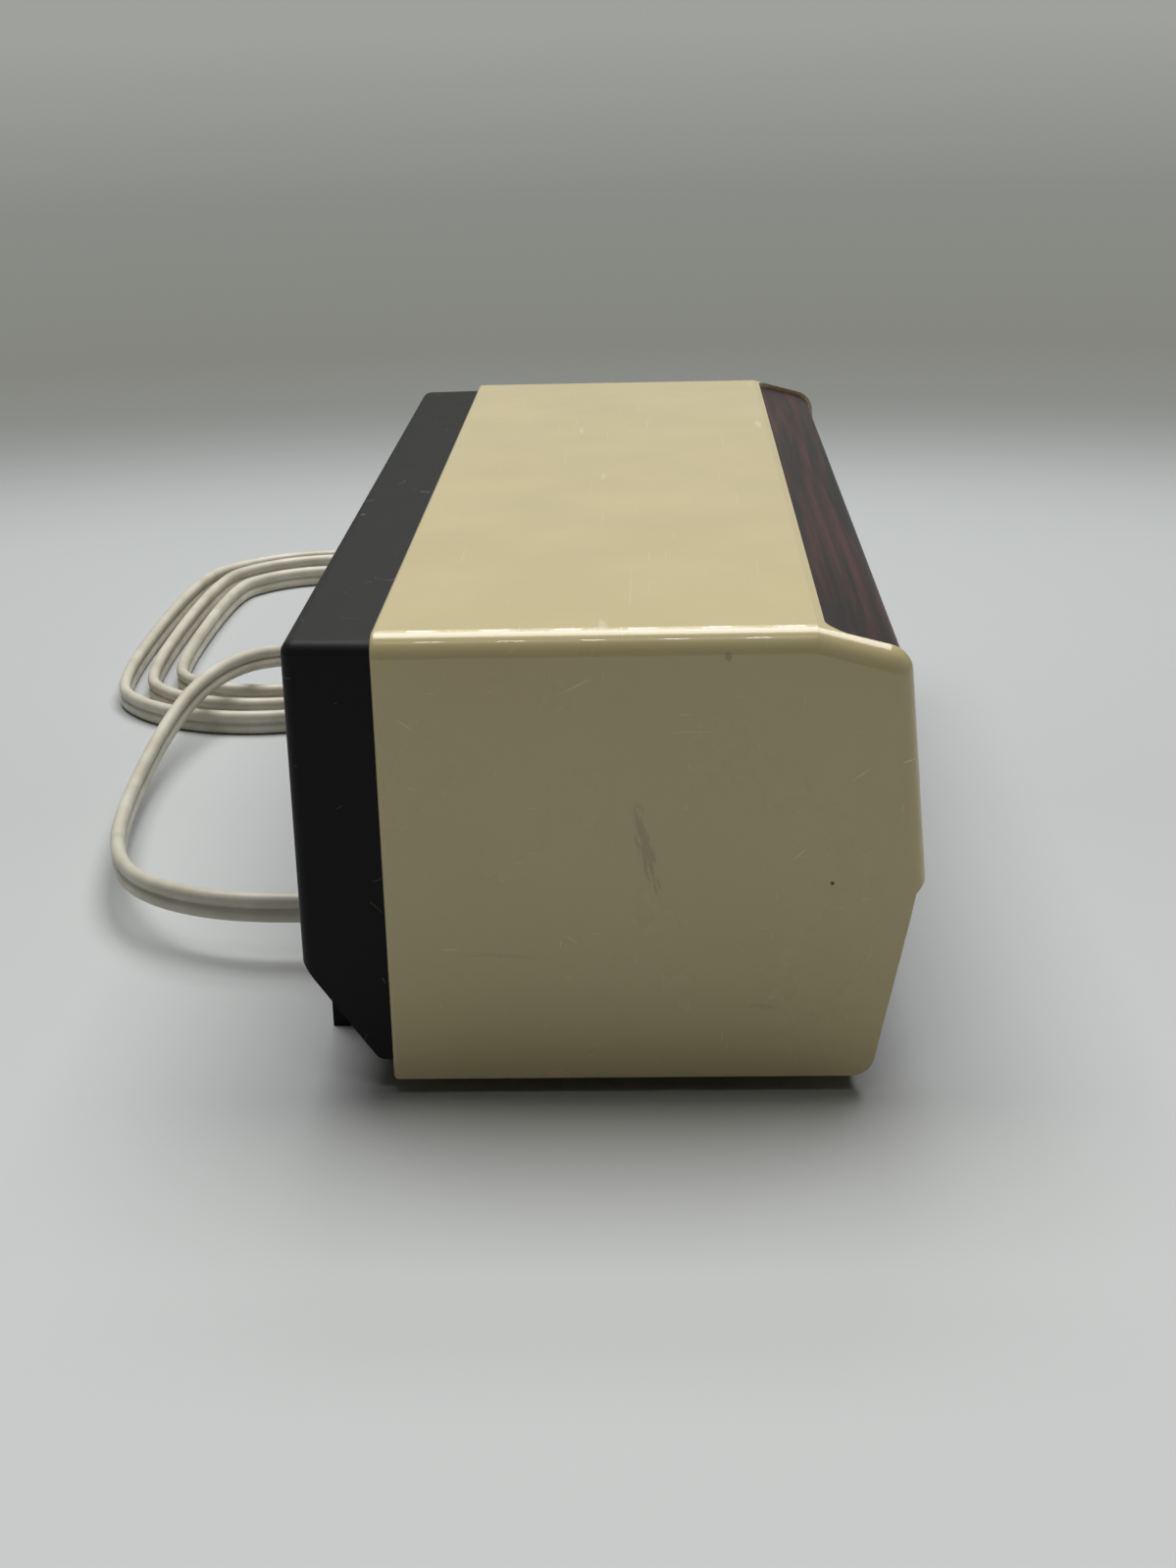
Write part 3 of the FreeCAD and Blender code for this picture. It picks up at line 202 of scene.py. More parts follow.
def add(tree, kind, inputs=None, stops=None, **settings):
    """Add a node with its settings; an input takes a number, a colour or a node's output."""
    node = tree.nodes.new(kind)
    for name, value in settings.items():
        setattr(node, name, value)
    for name, value in (inputs or {}).items():
        if isinstance(value, bpy.types.NodeSocket):
            tree.links.new(value, node.inputs[name])
        else:
            node.inputs[name].default_value = value
    if stops:
        ramp = node.color_ramp.elements
        while len(ramp) < len(stops):
            ramp.new(0.5)
        for element, (place, colour) in zip(ramp, stops):
            element.position = place
            element.color = hue(colour)
    return node


def material(name, colour, roughness, **inputs):
    """Start a material from its plain colour and gloss. Gives it, its nodes and its shader."""
    made = bpy.data.materials.new(name)
    made.use_nodes = True
    tree = made.node_tree
    shader = tree.nodes["Principled BSDF"]
    shader.inputs["Base Color"].default_value = hue(colour)
    shader.inputs["Roughness"].default_value = roughness
    for key, value in inputs.items():
        shader.inputs[key.replace("_", " ")].default_value = value
    return made, tree, shader


def place_of(tree, size, location=(0, 0, 0)):
    """Object coordinates scaled so that one unit is a real size in millimetres on each axis."""
    where = add(tree, "ShaderNodeTexCoord").outputs["Object"]
    sizes = size if hasattr(size, "__len__") else (size,) * 3
    return add(tree, "ShaderNodeMapping", {
        "Vector": where, "Scale": [1 / (s * MM) for s in sizes], "Location": location}).outputs[0]


def bumped(tree, shader, height, strength, distance):
    """Give the shader a bump from a height pattern, its depth in millimetres."""
    bump = add(tree, "ShaderNodeBump", {"Strength": strength, "Distance": distance * MM, "Height": height})
    tree.links.new(bump.outputs[0], shader.inputs["Normal"])
    return bump


def speckled(tree, size, detail=3.0, roughness=0.5, location=(0, 0, 0)):
    """A soft noise whose blots have a real size in millimetres."""
    where = place_of(tree, size, location)
    return add(tree, "ShaderNodeTexNoise", {
        "Vector": where, "Scale": 1.0, "Detail": detail, "Roughness": roughness}).outputs[0]


# Materials

def hairlines(tree, reach, width, cover, seed):
    """Short curved scratches: the thin contour lines of a broad noise, kept only here and there."""
    broad = speckled(tree, reach, 1, location=seed)
    contour = add(tree, "ShaderNodeMath", {0: broad, 1: 0.5, 2: width}, operation="COMPARE").outputs[0]
    patches = speckled(tree, reach * 0.7, 2, location=(seed[1], seed[2], 4))
    kept = add(tree, "ShaderNodeMath", {0: patches, 1: cover}, operation="GREATER_THAN").outputs[0]
    return add(tree, "ShaderNodeMath", {0: contour, 1: kept}, operation="MULTIPLY").outputs[0]


# Cream ABS, injection moulded and polished: a warm even gloss with slight yellowing in broad
# patches, hair scratches from handling, a dirty rub and a black speck on the left cheek.
cream, tree, shader = material(
    "glossy_cream_ABS", "#CBBA86", 0.24, IOR=1.5, Coat_Weight=0.6, Coat_Roughness=0.03)
aged = add(
    tree, "ShaderNodeValToRGB", {"Fac": speckled(tree, 40, 2)}, stops=[(0.3, "#C8B884"), (0.7, "#CCBC8A")])
marks = aged.outputs[0]
where = add(tree, "ShaderNodeTexCoord").outputs["Object"]
# each mark on the left cheek: its middle and half size along Y and Z, lean, colour, strength, raggedness
cheek, through = -113.25, 40
worn, dull, pale = "#8A7D5A", "#84785A", "#E3DCBC"
for centre, size, lean, colour, depth, ragged in (
        ((-5.6, 41.2), (1.2, 7.0), -0.2, dull, 0.38, 1.6),
        ((17.5, 24.0), (6.0, 0.5), 0.05, worn, 0.16, 1.0),
        ((-23.2, 15.0), (3.4, 0.5), 0.1, worn, 0.22, 1.0),
        ((4.3, 67.0), (3.0, 0.13), -0.45, pale, 0.7, 0.3),
        ((-12.9, 59.7), (4.2, 0.12), 0.0, pale, 0.5, 0.3),
        ((-37.6, 52.7), (1.9, 0.14), -0.60, pale, 0.7, 0.3),
        ((-44.7, 54.6), (1.2, 0.16), -0.10, pale, 0.9, 0.3),
        ((-28.7, 40.2), (1.9, 0.13), -0.75, pale, 0.7, 0.3),
        ((29.6, 61.3), (1.7, 0.14), 0.60, pale, 0.6, 0.3),
        ((5.9, 26.6), (1.6, 0.12), 0.70, pale, 0.6, 0.3),
        ((-18.0, 71.2), (0.7, 0.9), 0.0, "#8A7A55", 0.5, 0.4),
        ((-33.6, 35.4), (0.42, 0.42), 0.0, "#1B1917", 1.0, 0.0)):
    offset = add(tree, "ShaderNodeMapping", {
        "Vector": where, "Location": mm(cheek, *centre), "Rotation": (lean, 0, 0),
        "Scale": mm(through, *size)}, vector_type="TEXTURE").outputs[0]
    reach = add(tree, "ShaderNodeVectorMath", {0: offset}, operation="LENGTH").outputs["Value"]
    streaks = add(tree, "ShaderNodeTexNoise", {"Vector": offset, "Scale": 2.6, "Detail": 4.0}).outputs[0]
    torn = add(tree, "ShaderNodeMath", {
        0: streaks, 1: ragged * 2, 2: reach}, operation="MULTIPLY_ADD").outputs[0]
    inside = add(tree, "ShaderNodeMapRange", {
        "Value": torn, "From Min": 1.0 + ragged, "From Max": 0.5 + ragged,
        "To Min": 0.0, "To Max": depth}).outputs[0]
    marks = add(tree, "ShaderNodeMixRGB", {"Fac": inside, "Color1": marks, "Color2": hue(colour)}).outputs[0]
for size in ((30, 4.5, 0.35), (30, 0.35, 3.5)):
    short = add(tree, "ShaderNodeMapRange", {
        "Value": speckled(tree, size, 1), "From Min": 0.77, "From Max": 0.8,
        "To Min": 0.0, "To Max": 0.7}).outputs[0]
    marks = add(tree, "ShaderNodeMixRGB", {
        "Fac": short, "Color1": marks, "Color2": hue("#DDD4AE")}).outputs[0]
tree.links.new(marks, shader.inputs["Base Color"])
swim = add(tree, "ShaderNodeMapRange", {
    "Value": speckled(tree, 18, 3), "From Min": 0.3, "From Max": 0.7,
    "To Min": 0.2, "To Max": 0.3}).outputs[0]
tree.links.new(swim, shader.inputs["Roughness"])
bumped(tree, shader, speckled(tree, 9, 1), 0.02, 0.15)

# Rosewood-pattern film on a moulded panel, satin: dark brown-red, near-black streaks that
# run the long way, and fine pores along them.
rosewood, tree, shader = material("rosewood_film", "#2A1716", 0.34, Specular_IOR_Level=0.12)
sway = speckled(tree, (90, 14, 14), 2)
strand = add(tree, "ShaderNodeVectorMath", {
    0: place_of(tree, (55, 2.0, 2.0)), 1: sway}, operation="ADD").outputs[0]
grain = add(tree, "ShaderNodeTexNoise", {
    "Vector": strand, "Scale": 1.0, "Detail": 7.0, "Roughness": 0.62}).outputs[0]
figure = add(tree, "ShaderNodeValToRGB", {"Fac": grain}, stops=[
    (0.36, "#0B0808"), (0.46, "#1A1010"), (0.56, "#2F1817"), (0.7, "#452321")])
pores = speckled(tree, (6, 0.35, 0.35), 2)
fleck = add(tree, "ShaderNodeMapRange", {
    "Value": pores, "From Min": 0.6, "From Max": 0.72, "To Min": 0.0, "To Max": 0.6})
pored = add(tree, "ShaderNodeMixRGB", {
    "Fac": fleck.outputs[0], "Color1": figure.outputs[0], "Color2": hue("#0D0808")})
tree.links.new(pored.outputs[0], shader.inputs["Base Color"])
bumped(tree, shader, pores, 0.1, 0.1)

# Black ABS, fine spark-eroded mould surface: charcoal with a soft sheen, pale nicks and hair
# scratches where it was knocked.
charcoal, tree, shader = material("matte_black_ABS", "#131413", 0.48, Specular_IOR_Level=0.13)
nicks = add(tree, "ShaderNodeMapRange", {
    "Value": speckled(tree, (3, 2.4, 1.3), 6, 0.75), "From Min": 0.75, "From Max": 0.79,
    "To Min": 0.0, "To Max": 0.6}).outputs[0]
chipped = add(tree, "ShaderNodeMixRGB", {
    "Fac": nicks, "Color1": hue("#131413"), "Color2": hue("#8C8B84")}).outputs[0]
lines = hairlines(tree, 8, 0.004, 0.62, (9, 5, 2))
scored = add(tree, "ShaderNodeMixRGB", {"Fac": lines, "Color1": chipped, "Color2": hue("#4A4A47")})
tree.links.new(scored.outputs[0], shader.inputs["Base Color"])
bumped(tree, shader, speckled(tree, 0.5, 2), 0.12, 0.08)

# Black styrene trim, satin from a polished mould.
trim, tree, shader = material("satin_black_styrene", "#171717", 0.3, IOR=1.55)
bumped(tree, shader, speckled(tree, 3, 2), 0.05, 0.2)

# Smoked acrylic sheet, polished: dark and clear, the numbers show through it.
smoked, tree, shader = material("smoked_acrylic", "#2A2522", 0.06, IOR=1.49, Alpha=0.18)
bumped(tree, shader, speckled(tree, 30, 1), 0.03, 0.5)

# Silver paint on moulded plastic: a grey with fine metal flake.
silver, tree, shader = material("silver_paint", "#B4B2AA", 0.36, Metallic=0.6)
flake = add(
    tree, "ShaderNodeValToRGB", {"Fac": speckled(tree, 0.25, 1)},
    stops=[(0.35, "#A19F98"), (0.65, "#C4C2BB")])
tree.links.new(flake.outputs[0], shader.inputs["Base Color"])

# Zinc-plated steel sheet: pale grey with a blotchy spangle and brushed lines.
zinc, tree, shader = material("zinc_plated_steel", "#A9ABA8", 0.36, Metallic=1.0)
bloom = add(
    tree, "ShaderNodeValToRGB", {"Fac": speckled(tree, 6)}, stops=[(0.35, "#9A9C9A"), (0.65, "#B9BBB8")])
tree.links.new(bloom.outputs[0], shader.inputs["Base Color"])
bumped(tree, shader, speckled(tree, (0.2, 12, 0.2), 2), 0.1, 0.03)

# Ground steel rod: bright, with faint turning rings.
ground, tree, shader = material("ground_steel", "#C2C4C3", 0.22, Metallic=1.0)
bumped(tree, shader, speckled(tree, (0.25, 4, 4), 2), 0.08, 0.02)

# Matte black polyester leaf, screen printed: flat black with a slight tooth.
leaf, tree, shader = material("matte_black_leaf_film", "#161616", 0.62, IOR=1.57)
bumped(tree, shader, speckled(tree, 0.4, 2), 0.08, 0.03)

# White screen ink on the leaves and the dial: slightly warm and chalky.
ink, tree, shader = material("white_screen_ink", "#E9E6DC", 0.6)
mottle = add(
    tree, "ShaderNodeValToRGB", {"Fac": speckled(tree, 1.5)}, stops=[(0.3, "#E3E0D5"), (0.7, "#EFECE3")])
tree.links.new(mottle.outputs[0], shader.inputs["Base Color"])

# Natural acetal, moulded: milky white and waxy.
acetal, tree, shader = material("natural_acetal", "#E4DFCF", 0.4, IOR=1.48)
milky = add(
    tree, "ShaderNodeValToRGB", {"Fac": speckled(tree, 12)}, stops=[(0.3, "#DDD7C5"), (0.7, "#E9E5D7")])
tree.links.new(milky.outputs[0], shader.inputs["Base Color"])
bumped(tree, shader, speckled(tree, 2, 2), 0.05, 0.1)

# Machined brass: yellow metal with turning marks.
brass, tree, shader = material("machined_brass", "#C2A75E", 0.28, Metallic=1.0)
bumped(tree, shader, speckled(tree, (0.2, 3, 3), 2), 0.1, 0.02)

# Plated motor can: drawn steel, grey and slightly dull.
can, tree, shader = material("plated_can", "#8E908B", 0.42, Metallic=0.8)
bumped(tree, shader, speckled(tree, (12, 1, 1), 2), 0.1, 0.05)

# Copper winding under lacquered tape: red-brown with fine turns.
winding, tree, shader = material("taped_winding", "#8A3F22", 0.45)
turns = add(
    tree, "ShaderNodeTexWave", {"Vector": place_of(tree, 0.6), "Scale": 1.0, "Distortion": 0.4},
    bands_direction="Z")
bumped(tree, shader, turns.outputs[0], 0.4, 0.1)

# Clear lamp glass: thin and slightly warm.
lamp_glass, tree, shader = material("lamp_glass", "#EADBC8", 0.08, Alpha=0.5)

# Zinc-plated screw: grey, worn in the slot.
plated, tree, shader = material("plated_screw", "#8E908E", 0.34, Metallic=1.0)
bumped(tree, shader, speckled(tree, 0.8, 2), 0.15, 0.03)

# Moulded rubber: dark grey, dusty and matte.
rubber, tree, shader = material("moulded_rubber", "#2A2A29", 0.8)
dust = add(
    tree, "ShaderNodeValToRGB", {"Fac": speckled(tree, 4, 5)}, stops=[(0.45, "#262625"), (0.75, "#44433F")])
tree.links.new(dust.outputs[0], shader.inputs["Base Color"])

# Ivory PVC lead, extruded: soft sheen, yellowed and handled, with faint drawn lines.
vinyl, tree, shader = material("ivory_PVC", "#D5D0BF", 0.42, IOR=1.53)
handled = add(
    tree, "ShaderNodeValToRGB", {"Fac": speckled(tree, 9, 5)}, stops=[(0.3, "#B4AE9A"), (0.65, "#CBC6B6")])
tree.links.new(handled.outputs[0], shader.inputs["Base Color"])
bumped(tree, shader, speckled(tree, 1.2, 3), 0.12, 0.08)

finishes = {
    "cream_housing": cream, "woodgrain": rosewood, "smoked_window": smoked, "black_plastic": charcoal,
    "black_gloss_trim": trim, "silver_trim": silver, "zinc_steel": zinc, "steel_shaft": ground,
    "leaf_film": leaf, "gear_plastic": acetal, "brass_pinion": brass, "motor_can": can,
    "copper_coil": winding, "neon_glass": lamp_glass, "screw_steel": plated, "rubber_feet": rubber,
    "lead_vinyl": vinyl, "plug_vinyl": vinyl, "plug_brass": brass,
}
for part in frame["record"]["subparts"]:
    mesh = nodes[part["node"]].data
    mesh.materials.clear()
    mesh.materials.append(finishes[part["material_slot"]])


# Mains lead: two cores side by side on edge, along the route and round the coil

def core_outline():
    """The lead's section: two round cores with a groove between them."""
    core, from_middle, turn_step = 1.42, 1.38, 25.33
    points = []
    for middle, first in ((from_middle, -62), (-from_middle, 118)):
        for step in range(13):
            turn = math.radians(first + turn_step * step)
            points.append((core * math.cos(turn), middle + core * math.sin(turn)))
    outline = bpy.data.curves.new("core_outline", "CURVE")
    outline.dimensions = "2D"
    loop = outline.splines.new("POLY")
    loop.points.add(len(points) - 1)
    for corner, (a, b) in zip(loop.points, points):
        corner.co = (a * MM, b * MM, 0, 1)
    loop.use_cyclic_u = True
    thing = bpy.data.objects.new("core_outline", outline)
    bpy.context.scene.collection.objects.link(thing)
    thing.hide_render = True
    thing.hide_viewport = True
    return thing


exit_spot = (-62.45, 55, 10.6)
route = [
    exit_spot, (-62.45, 64, 10.6), (-59.6, 74.5, 10.4), (-53, 84.5, 9.8), (-42.5, 92.5, 8.8),
    (-27, 98, 7.6), (-6, 101.8, 6.2), (20, 104.2, 5.6), (48, 103.8, 8.2), (68, 100.2, 11.6),
    (86, 93.6, 12.2), (100.8, 85.4, 9.4), (111.2, 77.4, 6.0), (120.3, 71.2, 3.9), (129.5, 66.9, 2.9),
    (139.5, 64.6, 2.8), (147, 64.6, 2.8)]
# the loose turns: how high the lead lies, how far its long loops stand apart, and how far they
# reach to the far end and the near end, one after the other
coil_middle, lying = (148, 88), 2.8
inner_turn, turn_pitch, slack = 23.4, 6.3, 1.035
points_in_turn = 12
ends = (57.5, 60, 71.5, 71, 77.5, 81)
for step in range(points_in_turn * len(ends) // 2):
    angle = math.radians(15 + 30 * step)
    depth = inner_turn + turn_pitch * (step + 0.5) / points_in_turn
    width = ends[step * 2 // points_in_turn]
    outward = slack * depth
    route.append((
        coil_middle[0] + math.copysign(width - depth, math.sin(angle)) + outward * math.sin(angle),
        coil_middle[1] - outward * math.cos(angle), lying))
route += [(148, 45.7, lying), (157.5, 45.7, lying), (172.9, 34.85, lying), (182.4, 34.85, lying),
          (188, 34.85, lying)]

line = bpy.data.curves.new("mains_lead", "CURVE")
line.dimensions = "3D"
line.twist_mode = "Z_UP"
spline = line.splines.new("NURBS")
spline.points.add(len(route) - 1)
for control, point in zip(spline.points, route):
    control.co = (*mm(*point), 1)
spline.order_u = 3
spline.use_endpoint_u = True
spline.resolution_u = 8
line.bevel_mode = "OBJECT"
line.bevel_object = core_outline()
line.use_fill_caps = True
lead = bpy.data.objects.new("mains_lead", line)
bpy.context.scene.collection.objects.link(lead)
stand_in(lead, "case", "lead_vinyl", vinyl, "lead_free", "lead_coil")

# Strain relief: a tapered sleeve with a collar in the cover and grooves that let it bend
bush_low, bush_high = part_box("cord_bush")
bush_start = mm(exit_spot[0], bush_low.y / MM, exit_spot[2])
bush_length = (bush_high.y - bush_low.y) / MM
steps = [(0, 3.6), (0.8, 4.4), (2.2, 4.4), (2.8, 3.7)]
for ring in range(8):
    near = 3.4 + 2.0 * ring
    radius = 4.3 - 0.11 * ring
    steps += [(near, radius), (near + 1.2, radius), (near + 1.4, radius - 0.7), (near + 1.8, radius - 0.7)]
steps += [(bush_length - 0.8, 3.3), (bush_length, 3.0)]
sleeve = turned("strain_relief", bush_start, (0, 1, 0), steps, 40)
softened(sleeve, 0.12, 2)
stand_in(sleeve, "case", "lead_vinyl", vinyl, "cord_bush")

# Plug: a moulded body that narrows to the lead, with grip ribs on its cheeks
plug_low, plug_high = (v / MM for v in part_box("plug_body"))
middle = (plug_low + plug_high) / 2
plug = slab("plug_moulding", mm(plug_low.x + 9, plug_low.y, plug_low.z), mm(*plug_high))
for further, share in ((5.0, 0.7), (4.0, 0.55)):
    pick(plug, lambda f: f.normal.x < -0.9)
    bpy.ops.mesh.extrude_region_move(TRANSFORM_OT_translate={"value": (-further * MM, 0, 0)})
    tip = min(v.co.x for v in bmesh.from_edit_mesh(plug.data).verts)
    bpy.ops.transform.resize(value=(1, share, share), center_override=(tip, middle.y * MM, middle.z * MM))
    done(plug)
first_rib, rib_pitch, groove = 11.5, 3.2, 1.4
for rib in range(4):
    place = plug_low.x + first_rib + rib_pitch * rib
    opened(plug)
    for x in (place, place + groove):
        bpy.ops.mesh.select_all(action="SELECT")
        bpy.ops.mesh.bisect(plane_co=(x * MM, 0, 0), plane_no=(1, 0, 0))
    done(plug)
    pick(plug, lambda f: abs(f.normal.y) > 0.9 and abs(f.calc_center_median().x / MM - place - 0.7) < 0.3)
    bpy.ops.transform.resize(value=(1, 0.93, 1), center_override=(0, middle.y * MM, 0))
    done(plug)
softened(plug, 1.3, 2)
modified(plug, "SUBSURF", levels=2, render_levels=2)
bpy.ops.object.shade_smooth()
stand_in(plug, "case", "plug_vinyl", vinyl, "plug_body")


# Knobs on the right cheek: fluted rims and a dished face with a pointer

def knob(name, node, body):
    """A fluted knob where the CAD knob is: every third facet of its rim is sunk."""
    low, high = (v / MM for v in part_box(node))
    middle, rim = (low + high) / 2, (high.y - low.y) / 2
    deep = high.x - low.x
    thing = turned(name, mm(low.x, middle.y, middle.z), (1, 0, 0), [
        (0, rim - 0.3), (0.3, rim), (deep - 0.9, rim), (deep, rim - 0.9), (deep, rim - 1.9),
        (deep - 0.7, rim - 2.5), (deep - 0.5, 0.6)], 72)
    facet = math.radians(5)
    on_rim = 1.5e-6
    pick(thing, lambda f: abs(f.normal.x) < 0.1 and f.calc_area() > on_rim
         and int(math.atan2(f.normal.z, f.normal.y) / facet + 72.5) % 3 == 0)
    bpy.ops.mesh.inset(thickness=0.0001, depth=-0.0005, use_individual=True)
    done(thing)
    softened(thing, 0.12, 2)
    stand_in(thing, body, "black_plastic", charcoal, node)
    mark = slab(name + "_mark", mm(high.x - 0.75, middle.y - 0.4, middle.z + 1.2),
                mm(high.x - 0.3, middle.y + 0.4, middle.z + rim - 2.6))
    softened(mark, 0.12, 2)
    return stand_in(mark, body, "leaf_film", ink)


knob("time_setting_knob", "time_knob", "time_setter")
knob("alarm_setting_knob", "alarm_knob", "alarm_setter")


# Rounded stand-ins for the small moulded and turned pieces

for node, body, slot, finish, width in (
        ("snooze_bar", "snooze", "silver_trim", silver, 0.5),
        ("alarm_switch_slider", "alarm_switch", "silver_trim", silver, 0.3),
        ("alarm_switch_base", "case", "black_plastic", charcoal, 0.25),
        ("front_feet", "case", "rubber_feet", rubber, 0.4),
        ("cover_screws", "case", "screw_steel", plated, 0.15),
        ("tray_screws", "case", "screw_steel", plated, 0.15),
        ("terminal_block", "case", "gear_plastic", acetal, 0.4)):
    stand_in(refined(node, width), body, slot, finish, node)


# The bar's hidden flange is raised, to clear the top of the tray that it slides over
flange_band, flange_lift = 0.6, 0.25
bar = bpy.data.objects["finished_snooze_bar"]
lowest = min(v.co.z for v in bar.data.vertices)
for point in bar.data.vertices:
    if point.co.z < lowest + flange_band * MM:
        point.co.z += flange_lift * MM


# Numbers on the leaves and the dial: screen printed, cut where two leaves meet

hinge_y, hinge_z = -25.9, 48.4
upper_face, lower_face = -26.05, -25.55
number_height, ink_film = 21, 0.06


def turn_about(centre, angle):
    """A turn about the line along X that goes through a point."""
    return Matrix.Translation(centre) @ Matrix.Rotation(angle, 4, "X") @ Matrix.Translation(-centre)


def printed(name, words, height, squeeze, middle, y):
    """A number as a thin film of ink that faces the front, its middle at a point."""
    bpy.ops.object.select_all(action="DESELECT")
    bpy.ops.object.text_add(location=(0, 0, 0))
    thing = bpy.context.object
    thing.data.body = words
    thing.data.extrude = 0.5
    thing.data.offset = 0.012
    thing.data.resolution_u = 4
    alone(thing)
    bpy.ops.object.convert(target="MESH")
    thing = bpy.context.object
    low = Vector([min(v.co[i] for v in thing.data.vertices) for i in range(3)])
    high = Vector([max(v.co[i] for v in thing.data.vertices) for i in range(3)])
    factor = height * MM / (high.y - low.y)
    centre = (low + high) / 2
    thin = ink_film * MM / (high.z - low.z)
    thing.data.transform(Matrix.Diagonal((factor * squeeze, factor, thin, 1)) @ Matrix.Translation(-centre))
    thing.data.transform(Matrix.Rotation(math.radians(90), 4, "X"))
    thing.data.transform(Matrix.Translation(mm(middle[0], y, middle[1])))
    thing.name = name
    return thing


def halved(name, words, squeeze, x, y, upper, body, fallen=False):
    """The upper or lower half of a number on one leaf, or on the back of the leaf that falls."""
    thing = opened(printed(name, words, number_height, squeeze, (x, hinge_z), y))
    cut = hinge_z - (0.4 if upper else 0.75)
    bpy.ops.mesh.bisect(plane_co=(0, 0, cut * MM), plane_no=(0, 0, 1), use_fill=True,
                        clear_inner=upper, clear_outer=not upper)
    done(thing)
    if fallen:
        thing.data.transform(turn_about(mm(0, hinge_y, hinge_z), math.pi))
    return stand_in(thing, body, "leaf_film", ink)


hour_x, minute_x = -45.25, 2.75
for label, x, words, following, squeeze in (
        ("hour", hour_x, "10", "11", 0.85), ("minute", minute_x, "36", "37", 0.95)):
    halved(label + "_number_top", words, squeeze, x, upper_face, True, label + "_leaf")
    halved(label + "_number_bottom", words, squeeze, x, lower_face, False, label + "_drum")
    halved(label + "_number_next", following, squeeze, x, upper_face, False, label + "_leaf", fallen=True)

dial_low, dial_high = (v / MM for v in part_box("alarm_dial"))
dial_middle = (dial_low + dial_high) / 2
dial_rim = (dial_high.z - dial_low.z) / 2
dial_axis = mm(0, dial_middle.y, dial_middle.z)
dial_front = dial_middle.y - dial_rim
figures = []
for hour in range(12):
    figure = printed("dial_figure", str(12 if hour == 0 else hour), 3.6, 0.9,
                     (dial_middle.x + 1.6, dial_middle.z), dial_front - 0.02)
    figure.data.transform(turn_about(dial_axis, math.radians(-30 * hour)))
    figures.append(figure)
    for part_of_hour in range(4):
        tick_end = dial_low.x + (2.4 if part_of_hour == 0 else 1.4)
        tick = slab("dial_tick", mm(dial_low.x + 0.4, dial_front - 0.04, dial_middle.z - 0.12),
                    mm(tick_end, dial_front + 0.03, dial_middle.z + 0.12))
        tick.data.transform(turn_about(dial_axis, math.radians(-30 * hour - 7.5 * part_of_hour)))
        figures.append(tick)
bpy.ops.object.select_all(action="DESELECT")
for figure in figures:
    figure.select_set(True)
bpy.context.view_layer.objects.active = figures[0]
bpy.ops.object.join()
scale_print = bpy.context.object
scale_print.name = "alarm_dial_print"
stand_in(scale_print, "alarm_setter", "leaf_film", ink)


# Table: a pale sheet of paper, painted darker towards the back as painted shade, that fades, for the camera
# alone, into the grey surround

bpy.ops.object.select_all(action="DESELECT")
bpy.ops.mesh.primitive_plane_add(size=8, location=(0, 0, 0))
table = settled("table")
paper, tree, shader = material("pale_paper", "#BABCBB", 0.7)
where = add(tree, "ShaderNodeTexCoord").outputs["Object"]
around = add(tree, "ShaderNodeMapping", {
    "Vector": where, "Location": (0.0, 0.03, 0), "Scale": (0.42, 0.62, 1)}, vector_type="TEXTURE").outputs[0]
reach = add(tree, "ShaderNodeVectorMath", {0: around}, operation="LENGTH").outputs["Value"]
along = add(tree, "ShaderNodeSeparateXYZ", {0: where}).outputs["X"]
along = add(tree, "ShaderNodeMapRange", {"Value": along, "From Min": -0.3, "From Max": 0.4}).outputs[0]
# painted shade: the paper's colour darkens from the front towards the back, standing in for the light falling
# off
painted_shade_tone = add(tree, "ShaderNodeValToRGB", {"Fac": along}, stops=[
    (0.0, "#CFD1D0"), (0.45, "#B3B5B4"), (0.8, "#AEB1B0")])
tree.links.new(painted_shade_tone.outputs[0], shader.inputs["Base Color"])
away = add(tree, "ShaderNodeMapRange", {
    "Value": reach, "From Min": 0.58, "From Max": 1.25}, interpolation_type="SMOOTHSTEP").outputs[0]
fade = add(tree, "ShaderNodeMath", {
    0: away, 1: add(tree, "ShaderNodeLightPath").outputs["Is Camera Ray"]}, operation="MULTIPLY").outputs[0]
clear = add(tree, "ShaderNodeBsdfTransparent").outputs[0]
faded = add(tree, "ShaderNodeMixShader", {0: fade, 1: shader.outputs[0], 2: clear}).outputs[0]
tree.links.new(faded, tree.nodes["Material Output"].inputs["Surface"])
table.data.materials.append(paper)

# Light: a broad softbox overhead, two rows of small lamps that the near top edge reflects as
# bright lines, and a dim surround

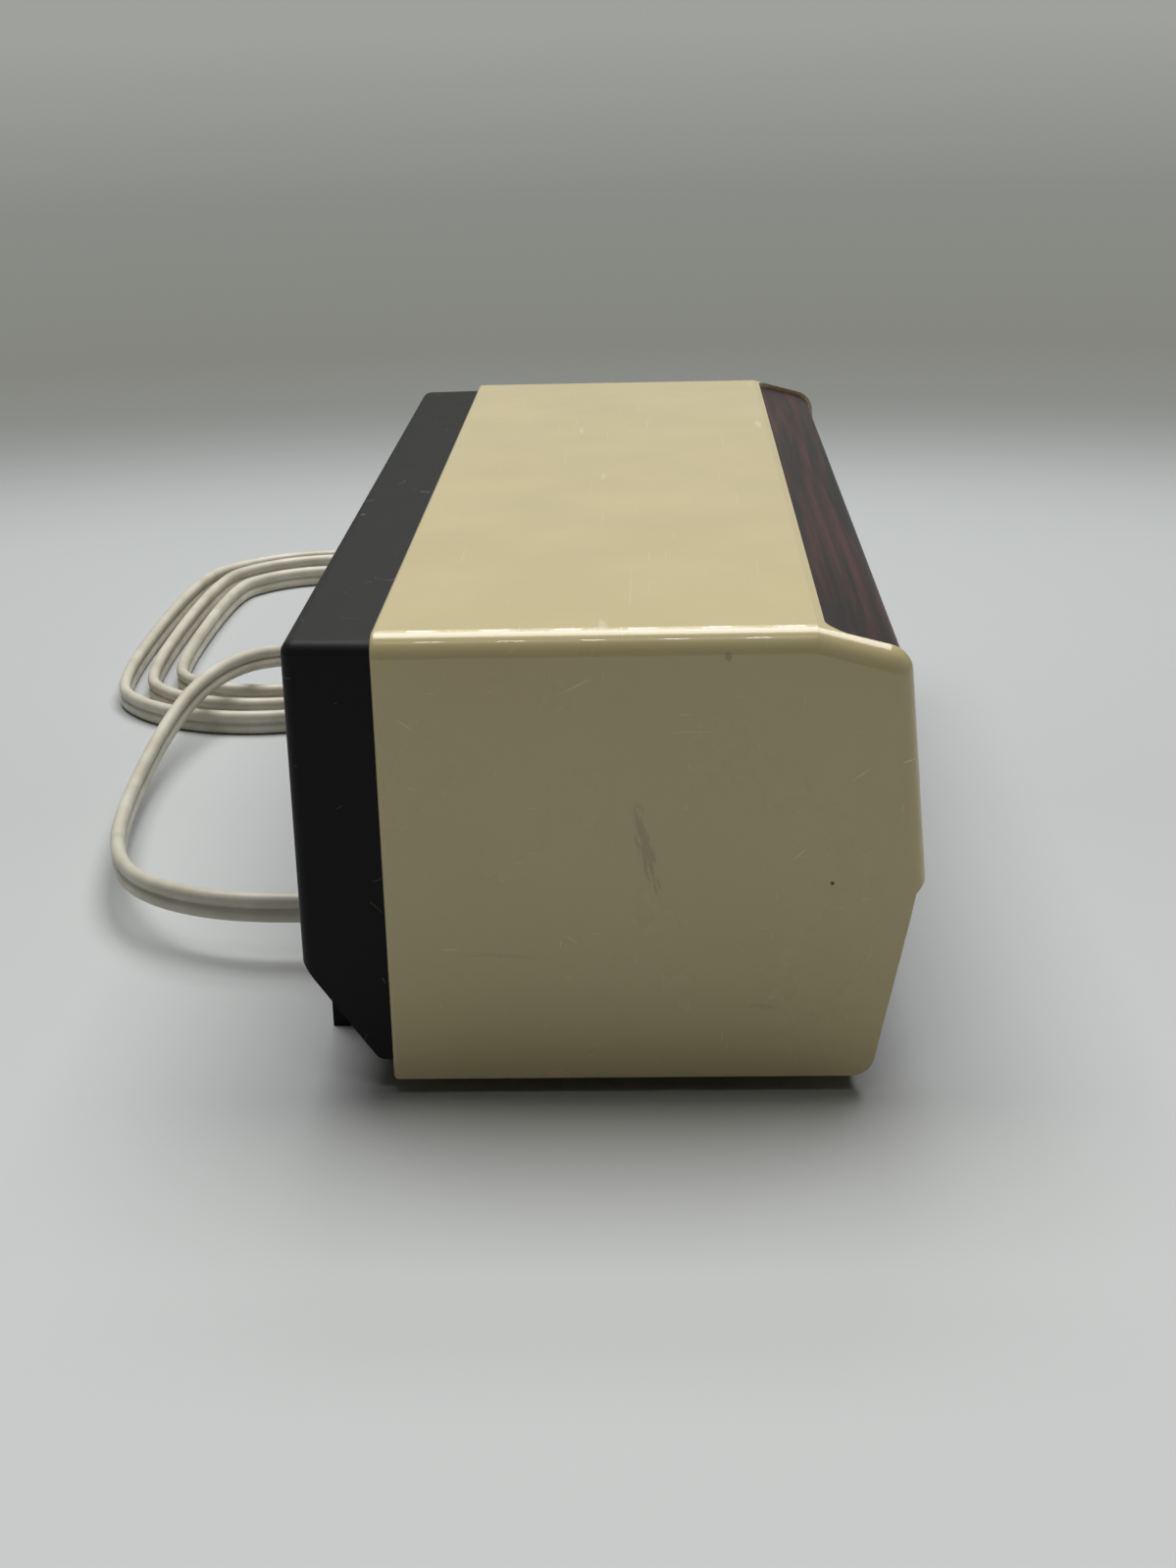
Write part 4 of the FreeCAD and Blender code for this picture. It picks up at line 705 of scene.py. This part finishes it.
def lamp_panel(name, place, width, depth, power):
    """A flat rectangular lamp that shines down."""
    bpy.ops.object.light_add(type="AREA", location=place)
    panel = bpy.context.object
    panel.name = name
    panel.data.shape = "RECTANGLE"
    panel.data.size = width
    panel.data.size_y = depth
    panel.data.energy = power
    return panel


lamp_panel("softbox", (0.27, 0.02, 1.1), 0.7, 1.2, 16.0)
near_edge = mm(-113, 0, 75)
for row, (x, z, first, apart, count, width, depth, power) in enumerate((
        (0.40, 0.56, -0.14, 0.035, 9, 0.013, 0.1, 0.08), (-0.36, 0.62, -0.12, 0.035, 8, 0.011, 0.03, 0.03))):
    facing = (near_edge - Vector((x, 0, z))).to_track_quat("-Z", "Y").to_euler()
    for lamp in range(count):
        bulb = lamp_panel("bulb_%d_%d" % (row, lamp), (x, first + apart * lamp, z), width, depth, power)
        bulb.rotation_euler = facing

# The surround is grey to the camera, to gloss and through clear plastic, and dim to all else; its grey
# carries painted shade of the far paper and wall
world = bpy.data.worlds.new("surround")
world.use_nodes = True
bpy.context.scene.world = world
tree = world.node_tree
background = tree.nodes["Background"]
rays = add(tree, "ShaderNodeLightPath").outputs
seen = add(tree, "ShaderNodeMath", {
    0: rays["Is Camera Ray"], 1: rays["Is Glossy Ray"]}, operation="MAXIMUM").outputs[0]
seen = add(tree, "ShaderNodeMath", {0: seen, 1: rays["Is Transmission Ray"]}, operation="MAXIMUM").outputs[0]
direction = add(tree, "ShaderNodeTexCoord").outputs["Generated"]
rise = add(tree, "ShaderNodeSeparateXYZ", {0: direction}).outputs["Z"]
rise = add(tree, "ShaderNodeMapRange", {"Value": rise, "From Min": -0.3, "From Max": 0.1}).outputs[0]
# painted shade: the surround's grey is darkest a little below eye level, lighter lower down and towards the
# horizon
painted_shade_wall = add(tree, "ShaderNodeValToRGB", {"Fac": rise}, stops=[
    (0.15, "#A9ABAA"), (0.26, "#929492"), (0.38, "#858680"), (0.54, "#898B86"), (0.72, "#9FA19C")]).outputs[0]
tint = add(tree, "ShaderNodeMixRGB", {"Fac": seen, "Color1": hue("#DCE0E4"), "Color2": painted_shade_wall}).outputs[0]
tree.links.new(tint, background.inputs["Color"])
level = add(tree, "ShaderNodeMapRange", {"Value": seen, "To Min": 0.03, "To Max": 1.0}).outputs[0]
tree.links.new(level, background.inputs["Strength"])

bpy.context.scene.view_settings.view_transform = "Standard"
